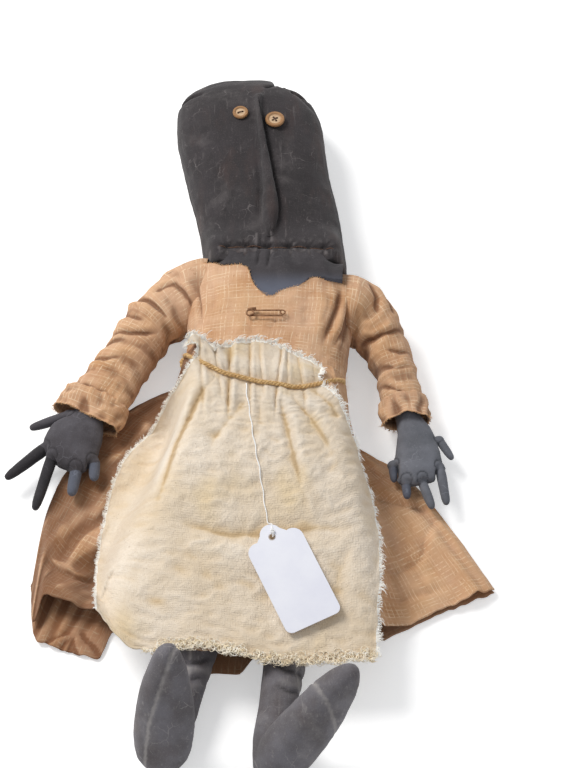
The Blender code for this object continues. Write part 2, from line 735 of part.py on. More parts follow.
def make_arm(name, finish, path, side, knuckle, chest):
    """The stuffed arm in the sleeve, from a flat root on the torso's side to the wrist."""
    wrist = wrist_point(path)
    heading = path[-1][1]
    shoulder, out = path[0][:2]
    rim = ring(shoulder, out, (0, 0, 1), ARM_RADIUS, ARM_RADIUS, 12, 2)
    seats = [chest.reach(Vector((0, place.y, place.z)), out) for place in rim + [shoulder]]
    root = Vector((side * (max(seats) + GAP * 1.7), shoulder.y, shoulder.z))
    rings = [ring(root, out, (0, 0, 1), ARM_RADIUS * 0.94, ARM_RADIUS * 0.94, 12, 2)]
    for (centre, ahead, _, _), taper in zip(path, ARM_TAPER_SHARES):
        radius = ARM_RADIUS * taper
        rings.append(ring(centre, ahead, (0, 0, 1), radius, radius, 12, 2))
    end = ARM_RADIUS * ARM_TAPER_SHARES[-1]
    for back in (2.2, 0.9, 0):
        place = wrist - heading * (knuckle + GAP * 2 + end * back * 0.4)
        rings.append(ring(place, heading, (0, 0, 1), end, end * 0.9, 12, 2))
    arm = add(name, loft(name, rings), finish)
    return arm


def make_palm(name, finish, shares, wrist, turn, side, length, width, depth):
    heading = Vector((side * math.cos(math.radians(turn)), -math.sin(math.radians(turn)), 0))
    aside = Vector((0, 0, 1)).cross(heading)
    rings = []
    for along, across, half, deep in shares:
        centre = wrist + heading * along * length + aside * across * width
        half, deep = half * width, deep * depth
        rings.append(ring(centre, heading, (0, 0, 1), half, deep, 8, 2, subdivision_growth(8)))
    palm = add(name, loft(name, rings), finish)
    soften(palm)
    return palm


def finger_seat(root, ahead, thick):
    """The room that a finger's root and the start of its shaft need, down and raised."""
    radius = thick * 1.09 + GAP
    raised = (ahead + Vector((0, 0, math.tan(math.radians(FINGER_RISE))))).normalized()
    bm = bmesh.new()
    halfway = (ahead + raised).normalized()
    for centre in [root] + [root + course * thick * 2.7 for course in (ahead, halfway, raised)]:
        place = Matrix.Translation(centre)
        bmesh.ops.create_uvsphere(bm, u_segments=10, v_segments=6, radius=radius, matrix=place)
    hull = bmesh.ops.convex_hull(bm, input=bm.verts)
    inside = [item for item in hull["geom_interior"] if isinstance(item, bmesh.types.BMVert)]
    bmesh.ops.delete(bm, geom=inside, context="VERTS")
    kept = {face for face in hull["geom"] if isinstance(face, bmesh.types.BMFace)}
    bmesh.ops.delete(bm, geom=[face for face in bm.faces if face not in kept], context="FACES_ONLY")
    bmesh.ops.recalc_face_normals(bm, faces=bm.faces)
    return mesh_from(bm, "seat", smooth=False)


def make_finger(name, finish, shares, wrist, length, size, palm, edge):
    """A stuffed finger with a round root at the palm's edge, and the round seat for it in the palm."""
    root_x, root_y, tip_x, tip_y, root_share, tip_share = shares
    root = Vector((wrist.x + root_x * length, wrist.y + root_y * length, FINGER_HEIGHT))
    tip = Vector((wrist.x + tip_x * length, wrist.y + tip_y * length, FINGERTIP_HEIGHT))
    thick, thin = size * root_share / 2, size * tip_share / 2
    ahead = (tip - root).normalized()
    spot, normal, _, leaves = edge.ray_cast(root, ahead)
    if spot and normal.dot(ahead) > 0:
        root += ahead * max(0, leaves - thick * 0.6)
    spot, normal, _, enters = edge.ray_cast(root, -ahead, thick * 3)
    if spot and normal.dot(ahead) > 0:
        root -= ahead * (enters + thick * 0.6)
    reach = (tip - root).length - thin
    stations = (
        (-thick * 0.9, thick * 0.45), (-thick * 0.4, thick * 0.95), (reach * 0.45, (thick + thin) / 2),
        (reach, thin), (reach + thin * 0.9, thin * 0.5),
    )
    rings = [
        ring(root + ahead * along, ahead, (0, 0, 1), radius, radius, 6, 2, subdivision_growth(6))
        for along, radius in stations
    ]
    finger = add(name, loft(name, rings), finish)
    soften(finger)
    boolean(palm, add_cutter(f"{name}_seat", finger_seat(root, ahead, thick)))
    return finger, root


def hip_point(side):
    """The centre of a leg's round top, which only just clears the turning torso."""
    drop = HIP_HEIGHT - LEG_HEIGHT
    reach = math.sqrt((HIP_RADIUS + GAP) ** 2 - drop**2)
    return Vector((side * LEG_SPACING / 2, -reach - THIGH / 2, LEG_HEIGHT))


def make_leg(name, finish, side, turn, lean, table):
    """A leg and its foot, sewn as one piece: the foot stands up from the heel, toes to the sky."""
    hip = hip_point(side)
    tilt = math.radians(turn)
    heading = Vector((-math.sin(tilt), -math.cos(tilt), 0))
    drop = (LEG_HEIGHT - THIGH * 0.42) / LEG_LENGTH
    rings = []
    for along, half, deep in LEG_SHARES:
        centre = hip + heading * (along * LEG_LENGTH - THIGH / 2)
        centre.z = LEG_HEIGHT - drop * max(0, along - LEG_SHARES[3][0]) * LEG_LENGTH
        size = (half * THIGH, deep * THIGH)
        rings.append(ring(centre, heading, (0, 0, 1), *size, 10, 2, subdivision_growth(10)))
    leg = add(name, loft(name, rings), finish)
    soften(leg)
    sideways, back = (math.radians(angle) for angle in lean)
    toes = Vector((math.sin(sideways), math.sin(back), math.cos(back) * math.cos(sideways))).normalized()
    heel = hip + heading * (LEG_LENGTH - THIGH / 2 - FOOT_DEPTH * 0.3)
    heel.z = HEEL_HEIGHT
    rings = []
    for along, half, deep in FOOT_SHARES:
        size = (half * FOOT_WIDTH, deep * FOOT_DEPTH)
        spot = heel + toes * along * FOOT_LENGTH
        rings.append(ring(spot, toes, (0, 1, 0), *size, 10, 2.1, subdivision_growth(10)))
    foot = add_cutter(f"{name}_foot", loft(f"{name}_foot", rings))
    soften(foot)
    boolean(leg, foot, "UNION")
    boolean(leg, table)
    return leg


def grid_place(cut, u, v):
    """A place on a cut cloth's outline grid, with u across and v from the waist to the hem."""
    grid, width, length, held_row, held_at = cut
    rows = [curve_through([Vector((x, y, 0)) for x, y in row], u) for row in grid]
    spot = curve_through(rows, v)
    middle = grid[held_row][len(grid[held_row]) // 2][1]
    return spot.x * width, held_at + (spot.y - middle) * length


def skirt_cut():
    """The skirt's grid, its size, and the row that is sewn on at the waist."""
    return SKIRT_GRID_SHARES, SKIRT_HALF_WIDTH, SKIRT_LENGTH, 0, waist_line(0, -WAIST_EDGE)


def apron_cut():
    """The apron's grid, its size, and the row that the rope holds."""
    return APRON_GRID_SHARES, APRON_HALF_WIDTH, APRON_LENGTH, 1, waist_line(0, -APRON_TIE_DROP)


def make_cloth(name, finish, cut, counts, height, thickness):
    """A sheet of cloth over a grid of places, each at the height that height(x, y, u, v) gives."""
    across, along = counts
    bm = bmesh.new()
    rows = []
    for j in range(along + 1):
        row = []
        for i in range(across + 1):
            u, v = i / across, j / along
            x, y = grid_place(cut, u, v)
            row.append(bm.verts.new((x, y, height(x, y, u, v))))
        rows.append(row)
    for low, high in zip(rows, rows[1:]):
        for i in range(across):
            bm.faces.new((low[i], high[i], high[i + 1], low[i + 1]))
    cloth = add(name, mesh_from(bm, name), finish)
    thicken(cloth, thickness)
    return cloth


def lap(x, y):
    """How high the lap is here, as the height itself and as a share from the table to the top."""
    _, height, middle, half, fall = between(LAP_ROW_SHARES, y / SKIRT_LENGTH)
    beyond = (abs(x - middle * LAP_HALF_WIDTH) - half * LAP_HALF_WIDTH) / (fall * LAP_HALF_WIDTH)
    t = max(0.0, min(1.0, beyond))
    return height * LAP_HEIGHT, 1 - t * t * (3 - 2 * t)


def make_skirt(finish, inside):
    """The skirt's front panel over the lap, and its back panel flat on the surface below."""
    rest = BACK_PANEL + GAP

    def front_height(x, y, u, v):
        height, share = lap(x, y)
        fold = SKIRT_FOLD * v * (1 - share) * (0.5 - 0.5 * math.cos(math.tau * 8 * u))
        drape = rest + (height - rest) * share + fold
        return max(drape, inside.top_near(x, y, DRAPE_REACH, rest) + (DRAPE_GAP if share > 0 else 0))

    front = make_cloth("skirt_front", finish, skirt_cut(), (28, 11), front_height, CLOTH)
    steps = 16
    edges = [(i / steps, 0) for i in range(steps)] + [(1, i / steps) for i in range(steps)]
    edges += [(1 - i / steps, 1) for i in range(steps)] + [(0, 1 - i / steps) for i in range(steps)]
    outline = [grid_place(skirt_cut(), u, v) for u, v in edges]
    back = add("skirt_back", prism("skirt_back", outline, 0, BACK_PANEL), finish)
    return front, back


def make_apron(finish, under):
    def height(x, y, u, v):
        gathers = APRON_GATHER * (1 - min(1, v * 1.1)) * (0.5 - 0.5 * math.cos(math.tau * 7 * u))
        cinch = max(0, 1 - abs(v - 0.25) / 0.12)
        rise = lap(x, y)[0] * lap(x, y)[1]
        ground = max(rise, under.top_near(x, y, DRAPE_REACH, BACK_PANEL))
        return ground + APRON_GAP + gathers * (1 - cinch)

    return make_cloth("apron", finish, apron_cut(), (28, 14), height, CLOTH)


def make_rope(finish, under, body):
    """The rope round the waist: over the apron in front, and in the seam line under the body."""
    half = ROPE / 2
    fine, loop = 120, []
    for i in range(fine):
        angle = 360 * i / fine
        out = Vector((math.cos(math.radians(angle)), 0, math.sin(math.radians(angle))))
        along = between(ROPE_FRONT_SHARES, angle)[1] * waist_line(0)
        reach, met = 0, under
        if angle > 180:
            met = body
            for _ in range(4):
                seat = body.reach(Vector((0, along, HIP_HEIGHT)), out) + half
                along = waist_line(out.x * seat)
        for turn in (-1, 0, 1):
            for slip in (-1, 0, 1):
                near = Matrix.Rotation(turn * half / HIP_HEIGHT, 3, "Y") @ out
                core = Vector((0, along + slip * half, HIP_HEIGHT))
                reach = max(reach, met.reach(core, near))
        place = Vector((0, along, HIP_HEIGHT)) + out * (reach + half + GAP * 2.7)
        loop.append(place)
    points = spaced(loop + [loop[0]], ROPE * 1.9)[:-1]
    holder = bpy.data.objects.new("rope_loop", tube("rope_belt", points, ROPE, 1, cyclic=True))
    CUTTERS.objects.link(holder)
    rope = add("rope_belt", as_mesh(holder), finish)
    left = min(points, key=lambda point: point.x)
    knot_at = min(points, key=lambda point: (point - left - Vector((0, 0, -HIP_HEIGHT / 2))).length)
    knot_at = knot_at + Vector((-ROPE_KNOT * 0.85, 0, 0))
    boolean(rope, add_cutter("knot", ball("knot", knot_at, ROPE_KNOT, 0.85)), "UNION")
    for i, spread in enumerate((-0.35, 0.5)):
        drop = Vector((-ROPE_TAIL * 0.5, ROPE_TAIL * spread, -HIP_HEIGHT * 0.2))
        tail = tube_mesh("tail", (knot_at, knot_at + drop * 0.5, knot_at + drop), ROPE * 0.9, 1)
        boolean(rope, add_cutter(f"rope_tail_{i}", tail), "UNION")
    return rope


def make_pin(finish, under):
    """A safety pin: fixed wire with its coil, the guard, and the needle that turns about the coil."""
    left = PIN_MIDDLE - PIN_LENGTH * 0.6
    right = left + PIN_LENGTH
    y = TORSO_LENGTH - PIN_FROM_NECK
    coil = Vector((right - PIN_COIL / 2, y, 0))
    rest = under.top_near((left + right) / 2, y, PIN_LENGTH * 0.5) + GAP
    z = rest + PIN_GUARD_THICK / 2
    coil.z = z
    back_y = y + PIN_COIL / 2
    loop = [
        coil + Vector((math.sin(a), math.cos(a), 0)) * PIN_COIL / 2
        for a in (math.radians(20 * i) for i in range(16))
    ]
    start = Vector((left + PIN_GUARD_WALL + GAP * 2, back_y, z))
    run = [start.lerp(Vector((coil.x - PIN_COIL, back_y, z)), i / 6) for i in range(7)]
    back = add("pin_back", tube("pin_back", run + loop, PIN_WIRE, 1), finish)
    needle_y = y - PIN_COIL / 2 - PIN_WIRE - GAP
    needle_start = Vector((coil.x, needle_y, z))
    needle_end = Vector((left + PIN_GUARD_WALL + GAP * 2, needle_y, z))
    stations = [(0, 0.5), (0.5, 0.5), (0.86, 0.46), (0.96, 0.22), (1, 0.08)]
    rings = [
        ring(needle_start.lerp(needle_end, t), (-1, 0, 0), (0, 0, 1), PIN_WIRE * r, PIN_WIRE * r, 8, 2)
        for t, r in stations
    ]
    needle = add("pin_needle", loft("pin_needle", rings), finish)
    low = Vector((left, y - PIN_GUARD_WIDTH / 2, rest))
    high = low + Vector((PIN_GUARD_LENGTH, PIN_GUARD_WIDTH, PIN_GUARD_THICK))
    guard = add("pin_guard", box("pin_guard", low, high), finish)
    bevel = guard.modifiers.new("edges", "BEVEL")
    bevel.width = PIN_GUARD_WALL
    bevel.segments = 2
    wall = Vector((PIN_GUARD_WALL, PIN_GUARD_WALL, PIN_GUARD_WALL))
    inner_low = Vector((low.x + PIN_GUARD_WALL, low.y - OVERRUN, low.z + PIN_GUARD_WALL))
    inner_high = high - wall + Vector((OVERRUN, 0, 0))
    boolean(guard, add_cutter("guard_hollow", box("guard_hollow", inner_low, inner_high)))
    return back, guard, needle, coil


def arc(x, y, radius, start, end, steps):
    angles = [math.radians(start + (end - start) * i / steps) for i in range(steps + 1)]
    return [(x + radius * math.cos(a), y + radius * math.sin(a)) for a in angles]


def tag_outline():
    """The card with a round lobe at its hole and a scallop on each shoulder, centred on the hole."""
    half = TAG_WIDTH / 2
    top = TAG_HOLE_INSET
    bottom = top - TAG_LENGTH
    corner = half - TAG_CORNER
    shoulder_y = top - TAG_LOBE * 2.1
    right = arc(corner, bottom + TAG_CORNER, TAG_CORNER, -90, 0, 5)
    right += arc(half - TAG_SHOULDER, shoulder_y, TAG_SHOULDER, 0, 105, 7)
    right += arc(0, top - TAG_LOBE, TAG_LOBE, 18, 90, 5)
    return right + [(-x, y) for x, y in right[-2::-1]]


def make_tag(finish, under):
    hole = Vector((TAG_HOLE_X, TAG_HOLE_Y, 0))
    rows = LAP_ROW_SHARES
    fall = (rows[-2][1] - rows[-1][1]) * LAP_HEIGHT / ((rows[-2][0] - rows[-1][0]) * SKIRT_LENGTH)
    reach = TAG_LENGTH - TAG_HOLE_INSET
    needed = 0
    for i in range(15):
        turn = math.radians(TAG_TURN + TAG_SWING * (i - 7) / 7)
        for j in range(-2, 9):
            for side in (-0.5, -0.25, 0, 0.25, 0.5):
                along, across = reach * j / 8, TAG_WIDTH * side
                x = hole.x + along * math.sin(turn) + across * math.cos(turn)
                y = hole.y - along * math.cos(turn) + across * math.sin(turn)
                top = under.top_near(x, y, STRING * 2)
                needed = max(needed, top - (y - hole.y) * fall)
    hole.z = needed + GAP * 2 + TAG_CARD / 2
    tilt = Matrix.Rotation(math.atan(fall), 4, "X")
    spin = Matrix.Rotation(math.radians(TAG_TURN), 4, "Z")
    card = prism("tag", tag_outline(), -TAG_CARD / 2, TAG_CARD / 2)
    card.transform(Matrix.Translation(hole) @ tilt @ spin)
    tag = add("tag", card, finish)
    normal = (tilt @ Vector((0, 0, 1))).normalized()
    punch = cylinder("tag_hole", hole, normal, TAG_HOLE / 2, SKY / 10, 20)
    boolean(tag, add_cutter("tag_hole", punch))
    return tag, hole, normal


def make_string(finish, under, tag_hole, normal):
    """The tag's string, from the rope to the hole in the card."""
    clear = STRING / 2 + GAP
    start = waist_line(0) * 0.631
    run = start - (tag_hole.y + TAG_HOLE_INSET * 1.4)
    route = []
    for x, along in STRING_SHARES:
        y = start - along * run
        route.append(Vector((x, y, under.top_near(x, y, STRING) + clear)))
    top = tag_hole + normal * (TAG_CARD / 2 + clear * 1.1)
    for share in (1.15, 0.95, 0.65, 0.4):
        x, y = tag_hole.x, tag_hole.y + TAG_HOLE_INSET * share
        route.append(Vector((x, y, under.top_near(x, y, STRING * 3) + clear * 1.2)))
    route.append(top + Vector((0, TAG_HOLE * 0.3, 0)))
    route.append(tag_hole + normal * TAG_CARD * 0.2)
    return add("tag_string", tube("tag_string", spaced(route, STRING * 2.9), STRING, 2), finish)


def pivot(name, place, parent=None):
    """An empty on a joint's axis."""
    empty = bpy.data.objects.new(name, None)
    empty.empty_display_size = ROPE
    DOLL.objects.link(empty)
    empty.location = Vector(place) - (Vector(parent["place"]) if parent else Vector((0, 0, 0)))
    empty["place"] = list(place)
    empty.parent = parent
    return empty


def hang(empty, *objects):
    """Puts the pieces' origins on this axis, with the pieces where they are."""
    for obj in objects:
        offset = Vector(empty["place"])
        shift = obj.location - offset
        if obj.data.users > 1:
            obj.data = obj.data.copy()
        if obj.location.length:
            obj.location = shift
        else:
            obj.data.transform(Matrix.Translation(-offset))
        obj.parent = empty


def main():
    clear_scene()
    charcoal = material("charcoal_cloth", (0.052, 0.046, 0.047), 0.9)
    grey = material("grey_cloth", (0.15, 0.15, 0.17), 0.9)
    dark_grey = material("dark_grey_cloth", (0.07, 0.066, 0.07), 0.9)
    dress = material("tea_dyed_check", (0.5, 0.27, 0.13), 0.9)
    cream = material("unbleached_cotton", (0.83, 0.74, 0.55), 0.95)
    jute = material("jute", (0.58, 0.36, 0.12), 0.9)
    button = material("tan_button", (0.52, 0.29, 0.11), 0.4)
    thread = material("black_thread", (0.02, 0.02, 0.02), 0.8)
    rust_thread = material("rust_thread", (0.16, 0.07, 0.035), 0.8)
    wire = material("rusty_wire", (0.23, 0.1, 0.045), 0.5, 1.0)
    card = material("white_card", (0.84, 0.85, 0.93), 0.6)
    string = material("white_string", (0.8, 0.8, 0.82), 0.8)

    reach = SKIRT_LENGTH * 3
    table = add_cutter("table", box("table", (-reach, -reach, -SKY), (reach, reach, 0)))
    torso = make_torso(grey)
    head = make_head(charcoal, table)
    legs = {
        "left": make_leg("leg_left", grey, -1, LEFT_LEG_TURN, LEFT_FOOT_LEAN, table),
        "right": make_leg("leg_right", grey, 1, RIGHT_LEG_TURN, RIGHT_FOOT_LEAN, table),
    }
    bodice = make_bodice(dress)
    front, back = make_skirt(dress, Surface(torso, *legs.values()))
    apron = make_apron(cream, Surface(front, bodice))
    rope = make_rope(jute, Surface(apron, front, back, bodice, torso), Surface(torso))

    face = Surface(head)
    nose = make_nose(charcoal, face)
    mouth = make_mouth(rust_thread, face)
    eye_y = TORSO_LENGTH + HEAD_START + HEAD_LENGTH - EYE_FROM_CROWN
    small_at = (-EYE_MIDDLE - EYE_SPREAD, eye_y + EYE_DROP)
    large_at = (-EYE_MIDDLE + EYE_SPREAD, eye_y - EYE_DROP)
    two, four = ((-1, -0.4), (1, 0.4)), ((-1, -0.6), (1, 0.6), (-0.6, 1), (0.6, -1))
    small, small_dish = make_button("eye_button_left", button, SMALL_BUTTON, *small_at, face, two)
    large, large_dish = make_button("eye_button_right", button, LARGE_BUTTON, *large_at, face, four)
    small_thread = make_eye_thread("eye_thread_left", thread, *small_at, small_dish, (two,))
    stitches = (four[:2], four[2:])
    large_thread = make_eye_thread("eye_thread_right", thread, *large_at, large_dish, stitches)

    pin_back, pin_guard, pin_needle, coil = make_pin(wire, Surface(bodice))
    tag, tag_hole, normal = make_tag(card, Surface(apron))
    cord = make_string(string, Surface(apron, tag), tag_hole, normal)

    chest = Surface(torso)
    root = pivot("lap_frame", (0, 0, 0))
    hips = pivot("sit_up", (0, 0, HIP_HEIGHT), root)
    neck = pivot("neck_nod", (0, TORSO_LENGTH, NECK_HEIGHT), hips)
    hang(root, front, back, apron, cord)
    hang(hips, torso, bodice, rope, pin_back, pin_guard)
    hang(neck, head, nose, mouth, small, large, small_thread, large_thread)
    hang(pivot("pin_open", coil, hips), pin_needle)
    hang(pivot("tag_swing", tag_hole, root), tag)
    for side, name in ((-1, "left"), (1, "right")):
        hang(pivot(f"leg_{name}_splay", hip_point(side), root), legs[name])

    hands = (
        ("left", -1, LEFT_SLEEVE_SHARES, LEFT_PALM_SHARES, LEFT_HAND_TURN, LEFT_PALM_LENGTH,
         LEFT_PALM_WIDTH, LEFT_PALM_DEPTH, LEFT_FINGER, LEFT_FINGER_SHARES, dark_grey),
        ("right", 1, RIGHT_SLEEVE_SHARES, RIGHT_PALM_SHARES, RIGHT_HAND_TURN, RIGHT_PALM_LENGTH,
         RIGHT_PALM_WIDTH, RIGHT_PALM_DEPTH, RIGHT_FINGER, RIGHT_FINGER_SHARES, grey),
    )
    for name, side, sleeve_shares, palm_shares, turn, length, width, depth, size, fingers, cloth in hands:
        path = limb_path(sleeve_shares, side)
        wrist = wrist_point(path)
        knuckle = -palm_shares[0][0] * length
        shoulder = pivot(f"shoulder_{name}", shoulder_point(side), hips)
        sleeve = make_sleeve(f"sleeve_{name}", dress, path)
        arm = make_arm(f"arm_{name}", cloth, path, side, knuckle, chest)
        hang(shoulder, sleeve, arm)
        hand = pivot(f"wrist_{name}", wrist, shoulder)
        palm = make_palm(f"hand_{name}", cloth, palm_shares, wrist, turn, side, length, width, depth)
        edge = Surface(palm).trees[0]
        for finger_name, shares in fingers.items():
            full = f"{finger_name}_{name}"
            finger, root_at = make_finger(full, cloth, shares, wrist, length, size, palm, edge)
            hang(pivot(f"{full}_bend", root_at, hand), finger)
        hang(hand, palm)


main()
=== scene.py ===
"""A rag doll in a check dress and a cream apron, lying on its back on a pale floor.

Metres, in the row frame: +Y towards the head, +Z up from the surface that the doll lies on. Left and
right are those of someone who looks at the face with the head away from them, so left is -X.
"""

import math

import bpy
import numpy as np
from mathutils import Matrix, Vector, noise
from mathutils.bvhtree import BVHTree


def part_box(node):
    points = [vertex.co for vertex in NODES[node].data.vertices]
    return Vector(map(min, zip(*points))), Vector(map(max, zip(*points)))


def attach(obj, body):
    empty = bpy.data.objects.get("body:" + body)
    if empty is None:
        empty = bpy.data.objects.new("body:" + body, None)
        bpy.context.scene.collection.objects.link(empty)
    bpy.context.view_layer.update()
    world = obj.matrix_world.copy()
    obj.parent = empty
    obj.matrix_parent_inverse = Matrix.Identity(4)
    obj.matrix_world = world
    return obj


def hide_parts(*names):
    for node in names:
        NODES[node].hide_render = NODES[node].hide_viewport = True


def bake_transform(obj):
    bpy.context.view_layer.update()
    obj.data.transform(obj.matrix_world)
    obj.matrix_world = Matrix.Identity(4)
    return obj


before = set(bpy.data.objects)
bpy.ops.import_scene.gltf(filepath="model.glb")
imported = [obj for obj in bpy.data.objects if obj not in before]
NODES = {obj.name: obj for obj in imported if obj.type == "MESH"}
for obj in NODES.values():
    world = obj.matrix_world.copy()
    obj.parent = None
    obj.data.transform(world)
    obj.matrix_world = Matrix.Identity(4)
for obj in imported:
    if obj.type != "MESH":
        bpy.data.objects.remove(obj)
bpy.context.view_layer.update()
PLACE = "cloth_place"
# Per point: painted shade in creases and valleys above 0, painted highlight on ridges below 0, and in places
# real pale scuffs, pale stitches and dark seams.
PAINTED_SHADE_AND_WEAR = "hollow"
VALUE, VECTOR = "NodeSocketFloat", "NodeSocketVector"


# Camera, floor and light

FLOOR_GLOW = 0.40


def make_camera():
    """Looks down at the doll from beyond its feet."""
    data = bpy.data.cameras.new("camera")
    data.lens, data.sensor_width = 100, 36
    data.clip_start, data.clip_end = 0.05, 20
    camera = bpy.data.objects.new("camera", data)
    camera.location = (0.015, -0.7226, 1.2548)
    camera.rotation_euler = (math.radians(33), 0, 0)
    bpy.context.scene.collection.objects.link(camera)
    bpy.context.scene.camera = camera


def make_light():
    """One soft lamp at the upper left, and a dim room that the camera sees as white."""
    bpy.context.scene.view_settings.view_transform = "Standard"
    lamp = bpy.data.lights.new("soft_lamp", "AREA")
    lamp.shape, lamp.size, lamp.energy = "DISK", 0.8, 25.0
    lamp.color = (1.0, 0.985, 0.96)
    holder = bpy.data.objects.new("soft_lamp", lamp)
    holder.location = (-0.95, 0.75, 1.45)
    aim = Vector((0, 0.06, 0)) - Vector(holder.location)
    holder.rotation_euler = aim.to_track_quat("-Z", "Y").to_euler()
    bpy.context.scene.collection.objects.link(holder)
    world = bpy.data.worlds.new("room")
    bpy.context.scene.world = world
    world.use_nodes = True
    g = Graph(world.node_tree)
    white = g.tree.nodes["Background"]
    white.inputs["Color"].default_value = (1, 1, 1, 1)
    room = g.add("ShaderNodeBackground", {"Color": (0.96, 0.975, 1, 1), "Strength": 0.50})
    path = g.add("ShaderNodeLightPath").outputs
    straight = g.math("MAXIMUM", path["Is Camera Ray"], path["Is Glossy Ray"])
    shown = g.math("MAXIMUM", straight, path["Is Transmission Ray"])
    either = g.add("ShaderNodeMixShader", {0: shown, 1: room.outputs[0], 2: white.outputs[0]})
    g.link(either.outputs[0], g.tree.nodes["World Output"].inputs["Surface"])


def make_floor():
    """A pale floor just below the doll, which keeps its shadow."""
    mesh = bpy.data.meshes.new("floor")
    far, low = 3.0, -0.0006
    corners = [(x * far, y * far, low) for x, y in ((-1, -1), (1, -1), (1, 1), (-1, 1))]
    mesh.from_pydata(corners, [], [(0, 1, 2, 3)])
    floor = bpy.data.objects.new("floor", mesh)
    finish, g, shader = new_finish("pale_floor", 0.0, 0.1)
    shader.inputs["Base Color"].default_value = (0.93, 0.93, 0.93, 1)
    shader.inputs["Roughness"].default_value = 0.9
    shader.inputs["Emission Color"].default_value = (1, 1, 1, 1)
    seen = g.add("ShaderNodeLightPath").outputs["Is Camera Ray"]
    g.link(g.times(seen, FLOOR_GLOW), shader.inputs["Emission Strength"])
    mesh.materials.append(finish)
    bpy.context.scene.collection.objects.link(floor)


# Nodes for the finishes

class Graph:
    """Adds nodes to a tree and links them."""

    def __init__(self, tree):
        self.tree = tree

    def add(self, kind, inputs=None, **settings):
        node = self.tree.nodes.new(kind)
        for name, value in settings.items():
            setattr(node, name, value)
        for key, value in (inputs or {}).items():
            if isinstance(value, bpy.types.NodeSocket):
                self.link(value, node.inputs[key])
            elif value is not None:
                node.inputs[key].default_value = value
        return node

    def link(self, output, socket):
        self.tree.links.new(output, socket)

    def place(self):
        return self.add("ShaderNodeTexCoord").outputs["Object"]

    def parts(self, place):
        return self.add("ShaderNodeSeparateXYZ", {0: place}).outputs

    def math(self, operation, a, b=None):
        return self.add("ShaderNodeMath", {0: a, 1: b}, operation=operation).outputs[0]

    def times(self, a, b):
        return self.math("MULTIPLY", a, b)

    def plus(self, a, b):
        return self.math("ADD", a, b)

    def vector(self, operation, a, b=None):
        return self.add("ShaderNodeVectorMath", {0: a, 1: b}, operation=operation).outputs

    def mix(self, share, a, b):
        inputs = {0: share, 6: a, 7: b}
        return self.add("ShaderNodeMix", inputs, data_type="RGBA", clamp_factor=True).outputs[2]

    def noise(self, place, scale, detail=2.0, roughness=0.5):
        inputs = {"Vector": place, "Scale": scale, "Detail": detail, "Roughness": roughness}
        return self.add("ShaderNodeTexNoise", inputs).outputs["Fac"]

    def span(self, value, low, high, start=0.0, end=1.0):
        inputs = {0: value, 1: low, 2: high, 3: start, 4: end}
        return self.add("ShaderNodeMapRange", inputs, interpolation_type="SMOOTHSTEP").outputs[0]

    def stretch(self, place, scale):
        return self.vector("MULTIPLY", place, scale)[0]

    def group(self, tree, **inputs):
        node = self.add("ShaderNodeGroup", node_tree=tree)
        for name, value in inputs.items():
            socket = node.inputs[name.replace("_", " ")]
            if isinstance(value, bpy.types.NodeSocket):
                self.link(value, socket)
            else:
                socket.default_value = value
        return node.outputs


def new_group(name, inputs, outputs):
    """A node group, and what builds its nodes between its inputs and outputs."""
    tree = bpy.data.node_groups.new(name, "ShaderNodeTree")
    for label, kind, value in inputs:
        socket = tree.interface.new_socket(label, in_out="INPUT", socket_type=kind)
        if value is not None:
            socket.default_value = value
    for label in outputs:
        tree.interface.new_socket(label, in_out="OUTPUT", socket_type=VALUE)
    graph = Graph(tree)
    start = graph.add("NodeGroupInput").outputs
    end = graph.add("NodeGroupOutput").inputs
    return tree, graph, start, end


def woven_group():
    """The threads of a plain weave, with thick and thin ones."""
    tree, g, start, end = new_group(
        "woven", [("Place", VECTOR, None), ("Pitch", VALUE, 0.0009), ("Unevenness", VALUE, 0.5)],
        ["Height", "Slub"])
    parts = g.parts(start["Place"])
    wander = g.times(g.noise(start["Place"], 160, 2), 0.0016)
    height = None
    for axis in (0, 1):
        moved = g.plus(parts[axis], wander)
        turns = g.math("DIVIDE", g.times(moved, math.pi), start["Pitch"])
        wave = g.math("ABSOLUTE", g.math("SINE", turns))
        height = wave if height is None else g.times(height, wave)
    long_ways = g.noise(g.stretch(start["Place"], (1400, 60, 60)), 1, 2)
    cross_ways = g.noise(g.stretch(start["Place"], (60, 1400, 60)), 1, 2)
    slub = g.math("MAXIMUM", long_ways, cross_ways)
    uneven = g.times(slub, start["Unevenness"])
    g.link(g.plus(g.times(height, 0.6), uneven), end["Height"])
    g.link(g.span(slub, 0.5, 0.75), end["Slub"])
    return tree


def check_group():
    """Broken pale lines both ways across the cloth, some strong and some faint."""
    tree, g, start, end = new_group(
        "check_lines",
        [("Place", VECTOR, None), ("Spacing", VALUE, 0.0042), ("Width", VALUE, 0.0005)],
        ["Lines", "Ground"])
    bend = g.times(g.math("SUBTRACT", g.noise(start["Place"], 45, 1), 0.5), 0.004)
    parts = g.parts(start["Place"])
    found = None
    for axis, stretch in ((0, (30, 300, 1)), (1, (300, 30, 1))):
        turns = g.math("DIVIDE", g.plus(parts[axis], bend), start["Spacing"])
        index = g.math("FLOOR", turns)
        off = g.math("ABSOLUTE", g.math("SUBTRACT", g.math("FRACT", turns), 0.5))
        off = g.times(off, start["Spacing"])
        line = g.span(off, 0.0, start["Width"], 1.0, 0.0)
        seed = {"W": g.plus(index, 71.0 * (axis + 1))}
        chance = g.add("ShaderNodeTexWhiteNoise", seed, noise_dimensions="1D").outputs[0]
        strong = g.span(chance, 0.15, 0.85, 0.15, 1.0)
        broken = g.span(g.noise(g.stretch(start["Place"], stretch), 1, 2), 0.36, 0.6)
        line = g.times(g.times(line, strong), broken)
        found = line if found is None else g.math("MAXIMUM", found, line)
    g.link(found, end["Lines"])
    g.link(g.span(g.noise(start["Place"], 38, 4, 0.6), 0.35, 0.68), end["Ground"])
    return tree


